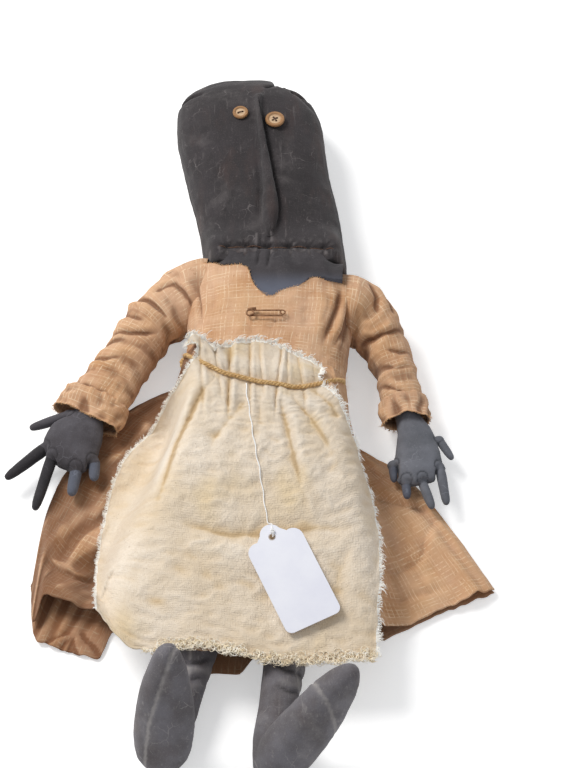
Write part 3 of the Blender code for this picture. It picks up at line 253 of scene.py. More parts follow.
def mottled_group():
    """Soft patches, and small spots in some of them."""
    tree, g, start, end = new_group(
        "mottled", [("Place", VECTOR, None), ("Size", VALUE, 0.02)], ["Patches", "Spots", "Grain"])
    scale = g.math("DIVIDE", 1.0, start["Size"])
    g.link(g.span(g.noise(start["Place"], scale, 4, 0.6), 0.3, 0.7), end["Patches"])
    spots = g.noise(start["Place"], g.times(scale, 14.0), 1, 0.4)
    few = g.noise(start["Place"], g.times(scale, 2.3), 2)
    g.link(g.times(g.span(spots, 0.66, 0.76), g.span(few, 0.42, 0.62)), end["Spots"])
    g.link(g.noise(start["Place"], g.times(scale, 26.0), 3, 0.7), end["Grain"])
    return tree


def worn_group():
    """Fine curling scratches, and rubbed places."""
    tree, g, start, end = new_group(
        "worn", [("Place", VECTOR, None), ("Size", VALUE, 0.012)], ["Scratches", "Rubbed"])
    scale = g.math("DIVIDE", 1.0, start["Size"])
    inputs = {"Vector": start["Place"], "Scale": scale, "Detail": 3.0}
    curl = g.add("ShaderNodeTexNoise", inputs).outputs["Color"]
    moved = g.vector("ADD", start["Place"], g.stretch(curl, (0.016, 0.016, 0.016)))[0]
    cells = g.add("ShaderNodeTexVoronoi", {"Vector": moved, "Scale": scale}, feature="DISTANCE_TO_EDGE")
    thin = g.span(cells.outputs["Distance"], 0.0, 0.03, 1.0, 0.0)
    where = g.span(g.noise(start["Place"], g.times(scale, 0.9), 3), 0.52, 0.66)
    rubbed = g.noise(start["Place"], g.times(scale, 0.5), 5, 0.7)
    g.link(g.times(thin, where), end["Scratches"])
    g.link(g.span(rubbed, 0.5, 0.75), end["Rubbed"])
    return tree


WOVEN, CHECK, MOTTLED, WORN = woven_group(), check_group(), mottled_group(), worn_group()


def srgb(red, green, blue):
    """A colour as written on a 0 to 255 scale, as the shader takes it."""
    return (*(((c / 255 + 0.055) / 1.055) ** 2.4 if c > 10 else c / 3294 for c in (red, green, blue)), 1)


def new_finish(name, sheen=0.0, ior_level=0.3):
    """A material, what builds its nodes, and its shader."""
    finish = bpy.data.materials.new(name)
    finish.use_nodes = True
    shader = finish.node_tree.nodes["Principled BSDF"]
    shader.inputs["Sheen Weight"].default_value = sheen
    shader.inputs["Sheen Roughness"].default_value = 0.5
    shader.inputs["Specular IOR Level"].default_value = ior_level
    return finish, Graph(finish.node_tree), shader


def connect(g, shader, colour, roughness, height, depth, strength):
    """Feeds a material's shader: colour, roughness and a bump of this depth."""
    g.link(colour, shader.inputs["Base Color"])
    g.link(roughness, shader.inputs["Roughness"])
    bump = g.add("ShaderNodeBump", {"Height": height, "Distance": depth, "Strength": strength})
    g.link(bump.outputs[0], shader.inputs["Normal"])


def wrapped_place(g):
    """Two ways across a rounded form: its sides don't streak."""
    parts = g.parts(g.place())
    first = g.plus(parts[0], parts[2])
    second = g.plus(parts[1], g.times(parts[2], 0.6))
    return g.add("ShaderNodeCombineXYZ", {0: first, 1: second}).outputs[0]


def away_from(g, place, centre):
    """How far a place lies from an upright line."""
    off = g.vector("SUBTRACT", place, centre)[0]
    return g.vector("LENGTH", g.stretch(off, (1, 1, 0)))["Value"]


def attribute(g, name):
    """What the mesh holds for each point under this name."""
    return g.add("ShaderNodeAttribute", attribute_name=name).outputs


def painted_cloth(name, dark, colour, light, scratch=0.5, warm=0.0, cool=False):
    """Stuffed cloth painted or dyed dark, rubbed paler in places, with curling scratches; painted shade in
    its creases and painted highlight on its ridges.
    """
    finish, g, shader = new_finish(name, 0.12, 0.22)
    place = g.place()
    weave = g.group(WOVEN, Place=wrapped_place(g), Pitch=0.0008, Unevenness=0.5)
    patches = g.group(MOTTLED, Place=place, Size=0.022)
    worn = g.group(WORN, Place=place, Size=0.013)
    hollow = attribute(g, PAINTED_SHADE_AND_WEAR)["Fac"]
    tone = g.mix(patches["Patches"], dark, colour)
    tone = g.mix(g.times(worn["Rubbed"], 0.30), tone, light)
    if cool:
        low = g.parts(place)[1]
        tone = g.mix(g.span(low, 0.150, 0.132, 0.0, 0.85), tone, srgb(98, 104, 120))
    if warm:
        rust = g.noise(g.stretch(place, (60, 22, 30)), 1, 4, 0.6)
        tone = g.mix(g.span(rust, 0.48, 0.72, 0.0, warm), tone, srgb(72, 54, 50))
        streak = g.noise(g.stretch(place, (420, 46, 200)), 1, 3, 0.6)
        tone = g.mix(g.span(streak, 0.60, 0.74, 0.0, 0.34), tone, light)
    tone = g.mix(g.times(patches["Grain"], 0.22), tone, light)
    tone = g.mix(g.times(worn["Scratches"], scratch), tone, light)
    tone = g.mix(g.times(patches["Spots"], 0.3), tone, light)
    # Painted shade: darker where the mesh marks creases and valleys.
    tone = g.mix(g.span(hollow, 0.0, 1.0, 0.0, 0.75), tone, tuple(0.35 * c for c in dark[:3]) + (1,))
    speck = g.noise(place, 1300, 2, 0.6)
    tone = g.mix(g.span(speck, 0.52, 0.75, 0.0, 0.22), tone, light)
    # Painted highlight on ridges, together with the real pale scuffs and stitches, all marked below 0.
    tone = g.mix(g.span(hollow, 0.0, -1.0, 0.0, 0.62), tone, light)
    rough = g.span(patches["Grain"], 0.2, 0.8, 0.72, 0.95)
    height = g.plus(weave["Height"], g.times(worn["Scratches"], 0.5))
    connect(g, shader, tone, rough, height, 0.00025, 0.5)
    return finish


def check_cloth(name, inside=False):
    """Tea-dyed cotton with broken cream lines both ways, painted shade in its creases and painted highlight
    on its ridges; its inside is painted darker as shade.
    """
    finish, g, shader = new_finish(name, 0.1, 0.15)
    place = attribute(g, PLACE)["Vector"]
    hollow = attribute(g, PAINTED_SHADE_AND_WEAR)["Fac"]
    lines = g.group(CHECK, Place=place, Spacing=0.0027, Width=0.0005)
    weave = g.group(WOVEN, Place=place, Pitch=0.0008, Unevenness=0.7)
    patches = g.group(MOTTLED, Place=place, Size=0.034)
    tone = g.mix(lines["Ground"], srgb(186, 136, 94), srgb(210, 168, 130))
    tone = g.mix(g.times(patches["Patches"], 0.55), tone, srgb(216, 178, 152))
    tone = g.mix(g.times(weave["Slub"], 0.35), tone, srgb(228, 196, 160))
    tone = g.mix(g.times(lines["Lines"], 0.75), tone, srgb(240, 218, 184))
    tone = g.mix(g.times(patches["Spots"], 0.3), tone, srgb(140, 84, 46))
    # Painted shade in the creases, painted highlight on the ridges.
    tone = g.mix(g.span(hollow, 0.0, 1.0, 0.0, 0.7), tone, srgb(104, 62, 38))
    tone = g.mix(g.span(hollow, 0.0, -1.0, 0.0, 0.3), tone, srgb(226, 182, 138))
    # Painted shade: the inside lies under the rolled hem, so it is mixed darker.
    if inside:
        tone = g.mix(0.45, tone, srgb(128, 78, 46))
    height = g.plus(weave["Height"], g.times(lines["Lines"], 0.5))
    connect(g, shader, tone, g.span(weave["Height"], 0.2, 1.0, 0.96, 0.82), height, 0.0003, 0.6)
    return finish


def apron_cloth():
    """Brushed unbleached cotton, with yellow stains and brown flecks, painted shade in its creases and
    painted highlight on its ridges.
    """
    finish, g, shader = new_finish("apron_cotton", 0.25, 0.12)
    place = attribute(g, PLACE)["Vector"]
    hollow = attribute(g, PAINTED_SHADE_AND_WEAR)["Fac"]
    weave = g.group(WOVEN, Place=place, Pitch=0.0011, Unevenness=0.5)
    patches = g.group(MOTTLED, Place=place, Size=0.05)
    fine = g.group(MOTTLED, Place=place, Size=0.012)
    nap = g.noise(g.stretch(place, (640, 700, 1)), 1, 4, 0.7)
    crepe = g.noise(g.stretch(place, (170, 210, 1)), 1, 3, 0.6)
    tone = g.mix(patches["Patches"], srgb(230, 211, 184), srgb(243, 230, 213))
    tone = g.mix(g.span(g.noise(place, 17, 2), 0.56, 0.76, 0.0, 0.6), tone, srgb(232, 204, 150))
    tone = g.mix(g.span(nap, 0.35, 0.7, 0.3, 0.0), tone, srgb(216, 194, 164))
    tone = g.mix(g.times(fine["Spots"], 0.5), tone, srgb(150, 112, 66))
    # Painted shade: yellowish in the creases and brown in the deepest ones; then painted highlight on the
    # ridges.
    tone = g.mix(g.span(hollow, 0.0, 1.0, 0.0, 0.7), tone, srgb(212, 182, 134))
    tone = g.mix(g.span(hollow, 0.55, 1.0, 0.0, 0.4), tone, srgb(166, 134, 94))
    tone = g.mix(g.span(hollow, 0.0, -1.0, 0.0, 0.4), tone, srgb(252, 244, 232))
    soft = g.plus(nap, g.times(crepe, 2.0))
    height = g.plus(g.times(weave["Height"], 0.4), soft)
    connect(g, shader, tone, g.span(nap, 0.2, 0.8, 0.84, 0.98), height, 0.0008, 0.75)
    return finish


def twisted_thread(name, dark, light, scale=900.0, rough=0.0003):
    """Plied thread or jute, with lighter and darker fibres."""
    finish, g, shader = new_finish(name, 0.15, 0.2)
    place = g.place()
    fibres = g.noise(place, scale, 4, 0.7)
    slow = g.noise(place, scale * 0.08, 2)
    tone = g.mix(g.span(fibres, 0.3, 0.7), dark, light)
    tone = g.mix(g.span(slow, 0.4, 0.7, 0.0, 0.3), tone, dark)
    connect(g, shader, tone, g.span(fibres, 0.2, 0.8, 0.8, 0.9), fibres, rough, 0.6)
    return finish


def button_finish(name, centre, radius):
    """A wooden button: a tan rim and a paler middle, with grain."""
    finish, g, shader = new_finish(name, 0.0, 0.45)
    place = g.place()
    out = away_from(g, place, tuple(centre))
    grain = g.noise(g.stretch(place, (250, 1500, 250)), 1, 3, 0.6)
    tone = g.mix(g.span(out, radius * 0.45, radius * 0.75), srgb(206, 178, 144), srgb(156, 116, 76))
    tone = g.mix(g.span(grain, 0.4, 0.7, 0.0, 0.5), tone, srgb(132, 84, 44))
    connect(g, shader, tone, g.span(grain, 0.2, 0.8, 0.38, 0.6), grain, 0.0001, 0.4)
    return finish


def wire_finish():
    """Steel wire gone brown with rust."""
    finish, g, shader = new_finish("rusty_wire", 0.0, 0.5)
    place = g.place()
    patches = g.group(MOTTLED, Place=place, Size=0.004)
    tone = g.mix(patches["Patches"], srgb(92, 58, 36), srgb(146, 110, 82))
    tone = g.mix(patches["Spots"], tone, srgb(120, 60, 26))
    shader.inputs["Metallic"].default_value = 0.75
    connect(g, shader, tone, g.span(patches["Grain"], 0.3, 0.7, 0.35, 0.7), patches["Grain"], 0.0001, 0.4)
    return finish


def card_finish():
    """Coated white card, a little grey at places, with a brown stain round the hole."""
    finish, g, shader = new_finish("white_card", 0.0, 0.3)
    place = g.place()
    patches = g.group(MOTTLED, Place=place, Size=0.03)
    out = away_from(g, place, (*TAG_HOLE, 0))
    tone = g.mix(patches["Patches"], srgb(232, 233, 244), srgb(240, 241, 249))
    tone = g.mix(g.span(out, 0.0019, 0.0028, 0.75, 0.0), tone, srgb(150, 128, 104))
    connect(g, shader, tone, g.span(patches["Grain"], 0.2, 0.8, 0.5, 0.65), patches["Grain"], 0.00005, 0.25)
    return finish


# Meshes

def array_of(mesh):
    """The mesh's points, one row each."""
    points = np.empty(len(mesh.vertices) * 3)
    mesh.vertices.foreach_get("co", points)
    return points.reshape(-1, 3)


def outward(mesh):
    """The direction that the surface faces at each point."""
    normals = np.empty(len(mesh.vertices) * 3, np.float32)
    mesh.vertex_normals.foreach_get("vector", normals)
    return normals.reshape(-1, 3).astype(float)


def faces_of(mesh):
    """The mesh's faces, each as the numbers of its points."""
    return [tuple(face.vertices) for face in mesh.polygons]


def set_points(mesh, points):
    mesh.vertices.foreach_set("co", np.ascontiguousarray(points, np.float32).ravel())
    mesh.update()


def keep(mesh, name, values):
    """Stores a value or a place for each point, for the finish to read."""
    values = np.asarray(values, np.float32)
    kind = "FLOAT" if values.ndim == 1 else "FLOAT_VECTOR"
    layer = mesh.attributes.get(name) or mesh.attributes.new(name, kind, "POINT")
    layer.data.foreach_set("value" if values.ndim == 1 else "vector", values.ravel())


def add_mesh(name, points, faces, finish):
    """A new smooth object in this finish."""
    mesh = bpy.data.meshes.new(name)
    mesh.from_pydata(np.asarray(points).tolist(), [], faces)
    mesh.shade_smooth()
    mesh.materials.append(finish)
    obj = bpy.data.objects.new(name, mesh)
    bpy.context.scene.collection.objects.link(obj)
    return obj


def settled(obj):
    """The object with its modifiers made part of its mesh."""
    bpy.context.view_layer.update()
    mesh = bpy.data.meshes.new_from_object(obj.evaluated_get(bpy.context.evaluated_depsgraph_get()))
    obj.modifiers.clear()
    old, obj.data = obj.data, mesh
    bpy.data.meshes.remove(old)
    mesh.name = obj.name
    mesh.shade_smooth()
    return obj


def remeshed(name, shapes, step, finish, rounds=4):
    """One closed skin over several (points, faces) shapes that touch or cross."""
    points, faces = [], []
    for shape_points, shape_faces in shapes:
        start = sum(len(p) for p in points)
        points.append(np.asarray(shape_points))
        faces += [tuple(i + start for i in face) for face in shape_faces]
    obj = add_mesh(name, np.concatenate(points), faces, finish)
    modifier = obj.modifiers.new("skin", "REMESH")
    modifier.mode, modifier.voxel_size, modifier.adaptivity = "VOXEL", step, 0
    if rounds:
        soft = obj.modifiers.new("soft", "SMOOTH")
        soft.factor, soft.iterations = 0.5, rounds
    settled(obj)
    if not obj.data.materials:
        obj.data.materials.append(finish)
    return obj


def unit(vectors):
    """The same directions, each of length 1."""
    return vectors / np.maximum(np.linalg.norm(vectors, axis=-1, keepdims=True), 1e-12)


def walked_along(points):
    """How far along its line each point lies."""
    return np.concatenate([[0], np.cumsum(np.linalg.norm(np.diff(points, axis=0), axis=1))])


def picked(points, walked, at):
    """Places along a line of points, at these lengths."""
    return np.stack([np.interp(at, walked, points[:, k]) for k in range(3)], -1)


def shares_over(rows, cols, left=0):
    """How far down and how far across each place of a grid lies."""
    return np.meshgrid(np.linspace(0, 1, rows), np.linspace(left, 1, cols), indexing="ij")


def rings(path, side, up, radius, sides):
    """Rings of points round a path, from two directions square to it."""
    points = []
    for p, s, u in zip(path, side, up):
        for k in range(sides):
            turn = math.tau * k / sides
            points.append(p + (s * math.cos(turn) + u * math.sin(turn)) * radius)
    return points


def ring_faces(first, second, sides):
    """The faces between two rings of points, which start at these numbers."""
    after = [(k + 1) % sides for k in range(sides)]
    return [(first + k, first + m, second + m, second + k) for k, m in enumerate(after)]


def ring_caps(start, end, sides):
    """The faces that close a tube at its first ring and at its last one."""
    return [tuple(range(start, start + sides))[::-1], tuple(range(end - sides, end))]


def cad(name):
    """The points and faces of a solid."""
    mesh = NODES[name].data
    return array_of(mesh), faces_of(mesh)


def round_ball(centre, radius):
    """A ball that fills the join between a finger and its hand."""
    rings, sides = 8, 12
    points, faces = [], []
    for i in range(rings + 1):
        tilt = math.pi * i / rings
        for j in range(sides):
            turn = math.tau * j / sides
            points.append((centre[0] + radius * math.sin(tilt) * math.cos(turn),
                           centre[1] + radius * math.sin(tilt) * math.sin(turn),
                           centre[2] + radius * math.cos(tilt)))
    for i in range(rings):
        for j in range(sides):
            k = (j + 1) % sides
            faces.append((i * sides + j, (i + 1) * sides + j, (i + 1) * sides + k, i * sides + k))
    return np.array(points), faces


class Under:
    """The tops of some pieces, as seen from straight above."""

    def __init__(self, *objects):
        graph = bpy.context.evaluated_depsgraph_get()
        bpy.context.view_layer.update()
        self.trees = [BVHTree.FromObject(obj, graph) for obj in objects]

    def top(self, x, y, missing=None):
        """The highest of the pieces at this place."""
        hits = [tree.ray_cast(Vector((x, y, 0.4)), Vector((0, 0, -1)))[0] for tree in self.trees]
        return max([hit.z for hit in hits if hit is not None], default=missing)

    def tops(self, places, missing=np.nan):
        flat = np.asarray(places).reshape(-1, np.shape(places)[-1])
        found = np.array([self.top(p[0], p[1], missing) for p in flat], float)
        return found.reshape(np.shape(places)[:-1])

    def reach(self, core, out):
        """How far the pieces reach out from a core inside them, in this direction."""
        hits = [tree.ray_cast(core + out * 0.3, -out, 0.3)[0] for tree in self.trees]
        return max([(hit - core).length for hit in hits if hit is not None], default=0.0)


# Unevenness, folds and smoothing

def lumps(points, size, seed=0, stretch=(1, 1, 1)):
    """Smooth unevenness between about -1 and 1, with lumps of this size."""
    shift = Vector((seed * 3.17, seed * 5.71, seed * 7.93))
    flat = np.asarray(points, float).reshape(-1, 3) * np.array(stretch) / size
    return np.array([noise.noise(Vector(p) + shift) for p in flat]).reshape(np.shape(points)[:-1])


def crumpled(points, size, seed=0, stretch=(1, 1, 1)):
    """Unevenness with sharp ridges, as in creased cloth."""
    return 1 - 2.6 * np.abs(lumps(points, size, seed, stretch))


def hump(distance, width):
    """A smooth swell of height 1 that fades out over this width."""
    return np.exp(-((np.asarray(distance) / width) ** 2))


def eased(share):
    """A step from 0 to 1 with soft ends."""
    share = np.clip(share, 0, 1)
    return share * share * (3 - 2 * share)


def window(value, start, end, soft):
    """1 between two values and 0 beyond them, with soft sides."""
    return eased((value - start) / soft) * eased((end - value) / soft)


def along_line(points, line):
    """For each place: how far it is from a line of points (to its left above 0), and how far along."""
    x, y = points[..., 0], points[..., 1]
    line = np.array(line, float) / 1000
    steps = np.hypot(*(line[1:] - line[:-1]).T)
    total, walked = steps.sum(), 0.0
    best = np.full(x.shape, 1e9)
    side, share = np.zeros(x.shape), np.zeros(x.shape)
    for (ax, ay), (bx, by), step in zip(line, line[1:], steps):
        tx, ty = (bx - ax) / step, (by - ay) / step
        t = np.clip((x - ax) * tx + (y - ay) * ty, 0, step)
        dx, dy = x - (ax + tx * t), y - (ay + ty * t)
        gone = np.hypot(dx, dy)
        nearer = gone < best
        best = np.where(nearer, gone, best)
        side = np.where(nearer, np.sign(tx * dy - ty * dx) * gone, side)
        share = np.where(nearer, (walked + t) / total, share)
        walked += step
    return side, share


def tapered(share, start, end):
    """1 along a line, fading out over these shares of it at its ends."""
    return eased(share / start) * eased((1 - share) / end)


def creases(points, table):
    """The height that creases add. Each is a line of points in mm, a width and a depth in mm, and how
    high the cloth swells on the line's left as a share of the depth, from -1 to 1 for the other side."""
    height = np.zeros(points.shape[:-1])
    for line, width, depth, swell in table:
        side, share = along_line(points, line)
        width, depth = width / 1000, depth / 1000
        part = tapered(share, 0.3, 0.4)
        valley = 0.55 * hump(side, width) + 0.75 * np.exp(-np.abs(side) / (width * 0.55))
        height -= depth * valley * part
        height += depth * abs(swell) * hump(side - math.copysign(width * 1.9, swell), width * 1.5) * part
    return height


def blurred(field, sizes, wrap=False):
    """A grid of values, smoothed by this many cells down and across."""
    for axis, size in enumerate(sizes):
        if not size:
            continue
        reach = int(3 * size) + 1
        kernel = np.exp(-0.5 * (np.arange(-reach, reach + 1) / size) ** 2)
        kernel /= kernel.sum()
        edges = [(reach, reach) if k == axis else (0, 0) for k in range(2)]
        wide = np.pad(field, edges, mode="wrap" if wrap and axis else "edge")
        field = np.apply_along_axis(lambda row: np.convolve(row, kernel, "valid"), axis, wide)
    return field


def painted_crease_shading(height, depth, reach=5, wrap=False):
    """Where a cloth's height lies below what surrounds it, from -1 on ridges to 1 in valleys: painted shade
    in the valleys, painted highlight on the ridges.
    """
    return np.clip((blurred(height, (reach, reach), wrap) - height) / depth, -0.8, 1)


def filled(field):
    """A grid with its missing values taken from the nearest ones in their row or column."""
    field = field.copy()
    for grid in (field, field.T, field):
        for row in grid:
            known = np.flatnonzero(~np.isnan(row))
            if len(known):
                row[:] = np.interp(np.arange(len(row)), known, row[known])
    return field


def spline_weights(count, shares):
    """Weights of a row of control places for a smooth curve through them."""
    weights = np.zeros((len(shares), count))
    for row, share in zip(weights, shares):
        last = count - 1
        whole = min(int(share * last), last - 1)
        t = share * last - whole
        near = (2 - 5 * t * t + 3 * t ** 3, t + 4 * t * t - 3 * t ** 3)
        basis = (-t + 2 * t * t - t ** 3, *near, t ** 3 - t * t)
        for k, part in enumerate(basis):
            row[min(max(whole - 1 + k, 0), last)] += 0.5 * part
    return weights


def grid_normals(top, wrap):
    """Which way a grid of places faces at each of them."""
    if wrap:
        across = np.roll(top, -1, 1) - np.roll(top, 1, 1)
    else:
        across = np.gradient(top, axis=1)
    return unit(np.cross(across, np.gradient(top, axis=0)))


def swollen(grid, middle, height):
    """A closed cloth moved out from its middle by this height, and kept off the table."""
    normals = grid_normals(grid, True)
    normals *= np.sign((normals * (grid - middle)).sum(axis=2, keepdims=True))
    grid = grid + normals * height[..., None]
    grid[..., 2] = np.maximum(grid[..., 2], TABLE_GAP)
    return grid


def cloth_piece(name, top, finish, thickness, place, hollow, wrap=False, outwards=None):
    """A cloth of two layers from a grid of places of its outer side."""
    rows, cols = top.shape[:2]
    normals = grid_normals(top, wrap)
    aim = np.array([0, 0, 1.0]) if outwards is None else outwards
    flip = (normals * aim).sum(axis=2).mean() < 0
    if flip:
        normals = -normals
    inner = top - normals * thickness
    points = np.concatenate([top.reshape(-1, 3), inner.reshape(-1, 3)])
    half = rows * cols
    faces = []
    for r in range(rows - 1):
        for c in range(cols if wrap else cols - 1):
            d = (c + 1) % cols
            quad = (r * cols + c, r * cols + d, (r + 1) * cols + d, (r + 1) * cols + c)
            if flip:
                quad = quad[::-1]
            faces += [quad, tuple(i + half for i in quad[::-1])]
    runs = [[r * cols + c for c in range(cols)] + ([r * cols] if wrap else []) for r in (0, rows - 1)]
    ends = [(runs[0], False), (runs[1], True)]
    if not wrap:
        ends += [([r * cols for r in range(rows)], True), ([r * cols + cols - 1 for r in range(rows)], False)]
    for run, turned in ends:
        for a, b in zip(run, run[1:]):
            quad = (b, a, a + half, b + half)
            faces.append(quad[::-1] if turned != flip else quad)
    obj = add_mesh(name, points, faces, finish)
    keep(obj.data, PLACE, np.tile(np.asarray(place).reshape(-1, 3), (2, 1)))
    keep(obj.data, PAINTED_SHADE_AND_WEAR, np.tile(np.asarray(hollow).ravel(), 2))
    return obj


def strands(name, roots, routes, radius, finish):
    """Fine threads: each root with its own route of offsets, thinner towards the end."""
    count, steps = routes.shape[:2]
    sides = 3
    centre = roots[:, None, :] + routes
    ahead = unit(np.gradient(centre, axis=1))
    other = np.where(np.abs(ahead[..., 2:3]) < 0.9, np.array([0, 0, 1.0]), np.array([1.0, 0, 0]))
    first = unit(np.cross(ahead, other))
    second = np.cross(ahead, first)
    thin = radius * np.linspace(1, 0.55, steps)[None, :, None]
    turns = [math.tau * k / sides for k in range(sides)]
    around = [centre + (first * math.cos(turn) + second * math.sin(turn)) * thin for turn in turns]
    points = np.stack(around, axis=2).reshape(-1, 3)
    faces = []
    for start in range(0, count * steps * sides, steps * sides):
        for ring in range(start, start + (steps - 1) * sides, sides):
            faces += ring_faces(ring, ring + sides, sides)
        faces += ring_caps(start, start + steps * sides, sides)
    obj = add_mesh(name, points, faces, finish)
    obj.data.shade_flat()
    return obj


def tube(name, path, radius, finish, sides=10):
    """A round tube along a path, closed at its ends."""
    path = np.asarray(path, float)
    ahead = unit(np.gradient(path, axis=0))
    side = np.cross(ahead, [0, 0, 1.0])
    side[np.linalg.norm(side, axis=1) < 1e-6] = (1, 0, 0)
    side = unit(side)
    points = rings(path, side, np.cross(side, ahead), radius, sides)
    faces = []
    for ring in range(0, len(points) - sides, sides):
        faces += ring_faces(ring, ring + sides, sides)
    return add_mesh(name, points, faces + ring_caps(0, len(points), sides), finish)


# The doll's tables, as in the part's source

HEAD_CREASES = (
    (((-6, 322), (-6.9, 301), (-2.4, 280), (2.1, 254), (6.2, 225), (8.9, 210), (8.4, 192), (4, 181)),
     1.3, 1.7, -0.25),
    (((-8.6, 258), (-5.4, 225), (-6.2, 200), (-5.4, 182)), 1.2, 0.8, 0),
    (((-4.6, 186), (-4.9, 173), (-7.3, 157)), 1.1, 1.3, -0.3),
    (((0.9, 186), (3.1, 173), (-0.3, 152)), 1.1, 1.3, 0.3),
    (((9, 338), (7.5, 327), (3, 321), (-3, 316.5)), 1.9, 4.6, 0.35),
    (((-50, 318), (-34, 330), (-8, 336)), 3.0, 0.9, 0),
    (((22, 322), (25, 311), (37, 300)), 2.0, 0.9, 0),
    (((-20, 225), (-30, 205), (-27, 185)), 4.0, 0.5, 0.4),
    (((24, 250), (30, 225), (26, 200)), 4.0, 0.45, 0.4),
)
NOSE_EDGE = (
    (-4.2, 300), (-3.6, 290), (-0.4, 266), (4.2, 238.5), (8.3, 213.6), (8.8, 196), (6.6, 185), (2, 180.5),
)
CROWN_NICKS = ((0.0080, 0.0026, 0.0125), (0.0140, 0.005, 0.0035))
CROWN_SLIT = ((11, 342), (8, 328), (3, 321), (-4, 316))
MOUTH = ((-34, 171), (-15, 171.2), (1, 170.4), (16, 170.6), (29, 170.3), (41, 169.3), (48.8, 168.6))
SCUFFS = (
    (-40, 164, 173), (-33, 166, 172), (-17, 163, 174), (-15, 165, 172), (-7, 160, 184),
    (3, 162, 183), (19, 163, 175), (27, 165, 173), (41, 163, 172),
)
STITCHES = (-28, -15, -0.6, 15.6, 29, 41)
STITCH_RADIUS, STITCH_LAY = 0.00055, 0.0022
CHIN = {"top": 0.1683, "length": 0.0525, "middle": 0.0058, "half": 0.0480, "height": 0.0570}
CHIN_THICKNESS = 0.004
CHIN_TUCKS = (
    (((-4.9, 170), (-5.6, 163), (-7.3, 150)), 1.1, 1.3, -0.3),
    (((3.1, 170), (2, 163), (-0.3, 148)), 1.1, 1.3, 0.3),
    (((-15, 170), (-15, 158)), 1.0, 0.8, 0.3),
    (((16, 170), (17, 157)), 1.2, 0.9, 0.3),
    (((-28, 170), (-27, 160)), 1.0, 0.7, 0.3),
    (((29, 170), (31, 160)), 1.0, 0.7, 0.3),
)
SKIRT_GRID = (
    ((-0.362, 0.453), (-0.289, 0.438), (-0.197, 0.42), (-0.099, 0.403), (0, 0.385),
     (0.099, 0.365), (0.197, 0.347), (0.283, 0.333), (0.355, 0.318)),
    ((-0.658, 0.31), (-0.487, 0.26), (-0.316, 0.225), (-0.158, 0.205), (0, 0.19),
     (0.145, 0.18), (0.263, 0.175), (0.342, 0.18), (0.408, 0.19)),
    ((-0.928, 0.025), (-0.737, -0.04), (-0.5, -0.1), (-0.25, -0.15), (0, -0.17),
     (0.23, -0.16), (0.408, -0.11), (0.553, -0.04), (0.684, 0.02)),
    ((-1.013, -0.35), (-0.974, -0.54), (-0.789, -0.615), (-0.493, -0.635), (-0.099, -0.65),
     (0.296, -0.6), (0.625, -0.485), (0.842, -0.405), (0.993, -0.36)),
)
SKIRT_SIZE = (0.152, 0.200)
SKIRT_SPREAD = (0.300, 0.205)
HEM_ROLL = (-0.153, -0.074, 0.009)
HEM_ROLL_RISE, HEM_ROLL_REACH = 0.0125, 0.027
HEM_RISES = ((0.006, -0.15, -0.09, 0.01), (0.020, -0.108, -0.045, 0.010), (0.012, -0.017, 0.078, 0.012))
APRON_GRID = (
    ((-0.587, 0.37), (-0.5, 0.387), (-0.37, 0.343), (-0.207, 0.361), (0.022, 0.357),
     (0.185, 0.326), (0.413, 0.265)),
    ((-0.511, 0.309), (-0.402, 0.278), (-0.272, 0.252), (-0.109, 0.23), (0.043, 0.222),
     (0.217, 0.211), (0.402, 0.217)),
    ((-1.03, 0.113), (-0.68, 0.078), (-0.345, 0.061), (-0.076, 0.052), (0.152, 0.052),
     (0.37, 0.061), (0.598, 0.104)),
    ((-1.2, -0.209), (-0.804, -0.243), (-0.435, -0.261), (-0.13, -0.27), (0.196, -0.261),
     (0.5, -0.239), (0.804, -0.191)),
    ((-1.165, -0.452), (-0.91, -0.562), (-0.5, -0.557), (-0.152, -0.578), (0.174, -0.604),
     (0.478, -0.6), (0.761, -0.591)),
)
APRON_SIZE = (0.092, 0.230)
APRON_SPREAD = (0.195, 0.235)
APRON_CREASES = (
    (((-26.4, 58.8), (-33.8, 53.8), (-43.6, 41.9), (-49.8, 26.2), (-59.3, 8.8), (-63.7, -8.5),
      (-69.4, -31), (-71, -46)), 3.0, 3.4, -0.55),
    (((-9, 45), (-15, 35), (-23.2, 23.7), (-32.9, 10.2), (-37.5, -3.2)), 3.2, 1.5, 0.5),
    (((-3, 50), (-3.5, 30), (-4.5, 10)), 2.6, 0.9, 0.4),
    (((6.3, 49.2), (10.5, 33.5), (14.7, 15.9), (18.8, -3.2), (22.8, -22.1), (29.1, -40.8)), 3.0, 2.3, 0.6),
    (((14.7, 48.5), (19.6, 36.7), (29.5, 24.9), (40.9, 5.6), (46, -8)), 3.0, 2.4, 0.5),
    (((24.7, 49.8), (33, 43.9), (42.9, 34), (52, 20)), 2.6, 2.0, 0.5),
    (((-62, -44), (-48.3, -48.8), (-22.4, -54.3), (9.8, -53), (32.4, -49.5), (55, -50.6), (68, -54.3)),
     6.5, 3.2, -0.5),
    (((-60, -58), (-51.2, -64.9), (-34.8, -81.2), (-21.8, -97.3)), 5.0, 1.0, 0.5),
    (((-80, -92), (-66, -100), (-50, -112)), 5.0, 0.8, 0.5),
    (((56, -62), (46, -84), (50, -106)), 5.0, 1.0, 0.4),
)
BACK_GATHERS = (
    (((-126, -102), (-122, -116), (-116, -128)), 1.8, 1.6, 0.8),
    (((-126, -102), (-132, -114), (-136, -124)), 1.6, 1.4, -0.8),
    (((-124, -100), (-127, -116), (-127, -130)), 1.6, 1.6, 0.8),
    (((-126, -100), (-140, -108), (-147, -112)), 1.6, 1.2, 0.7),
    (((-122, -100), (-110, -112), (-104, -122)), 1.8, 1.3, 0.7),
)
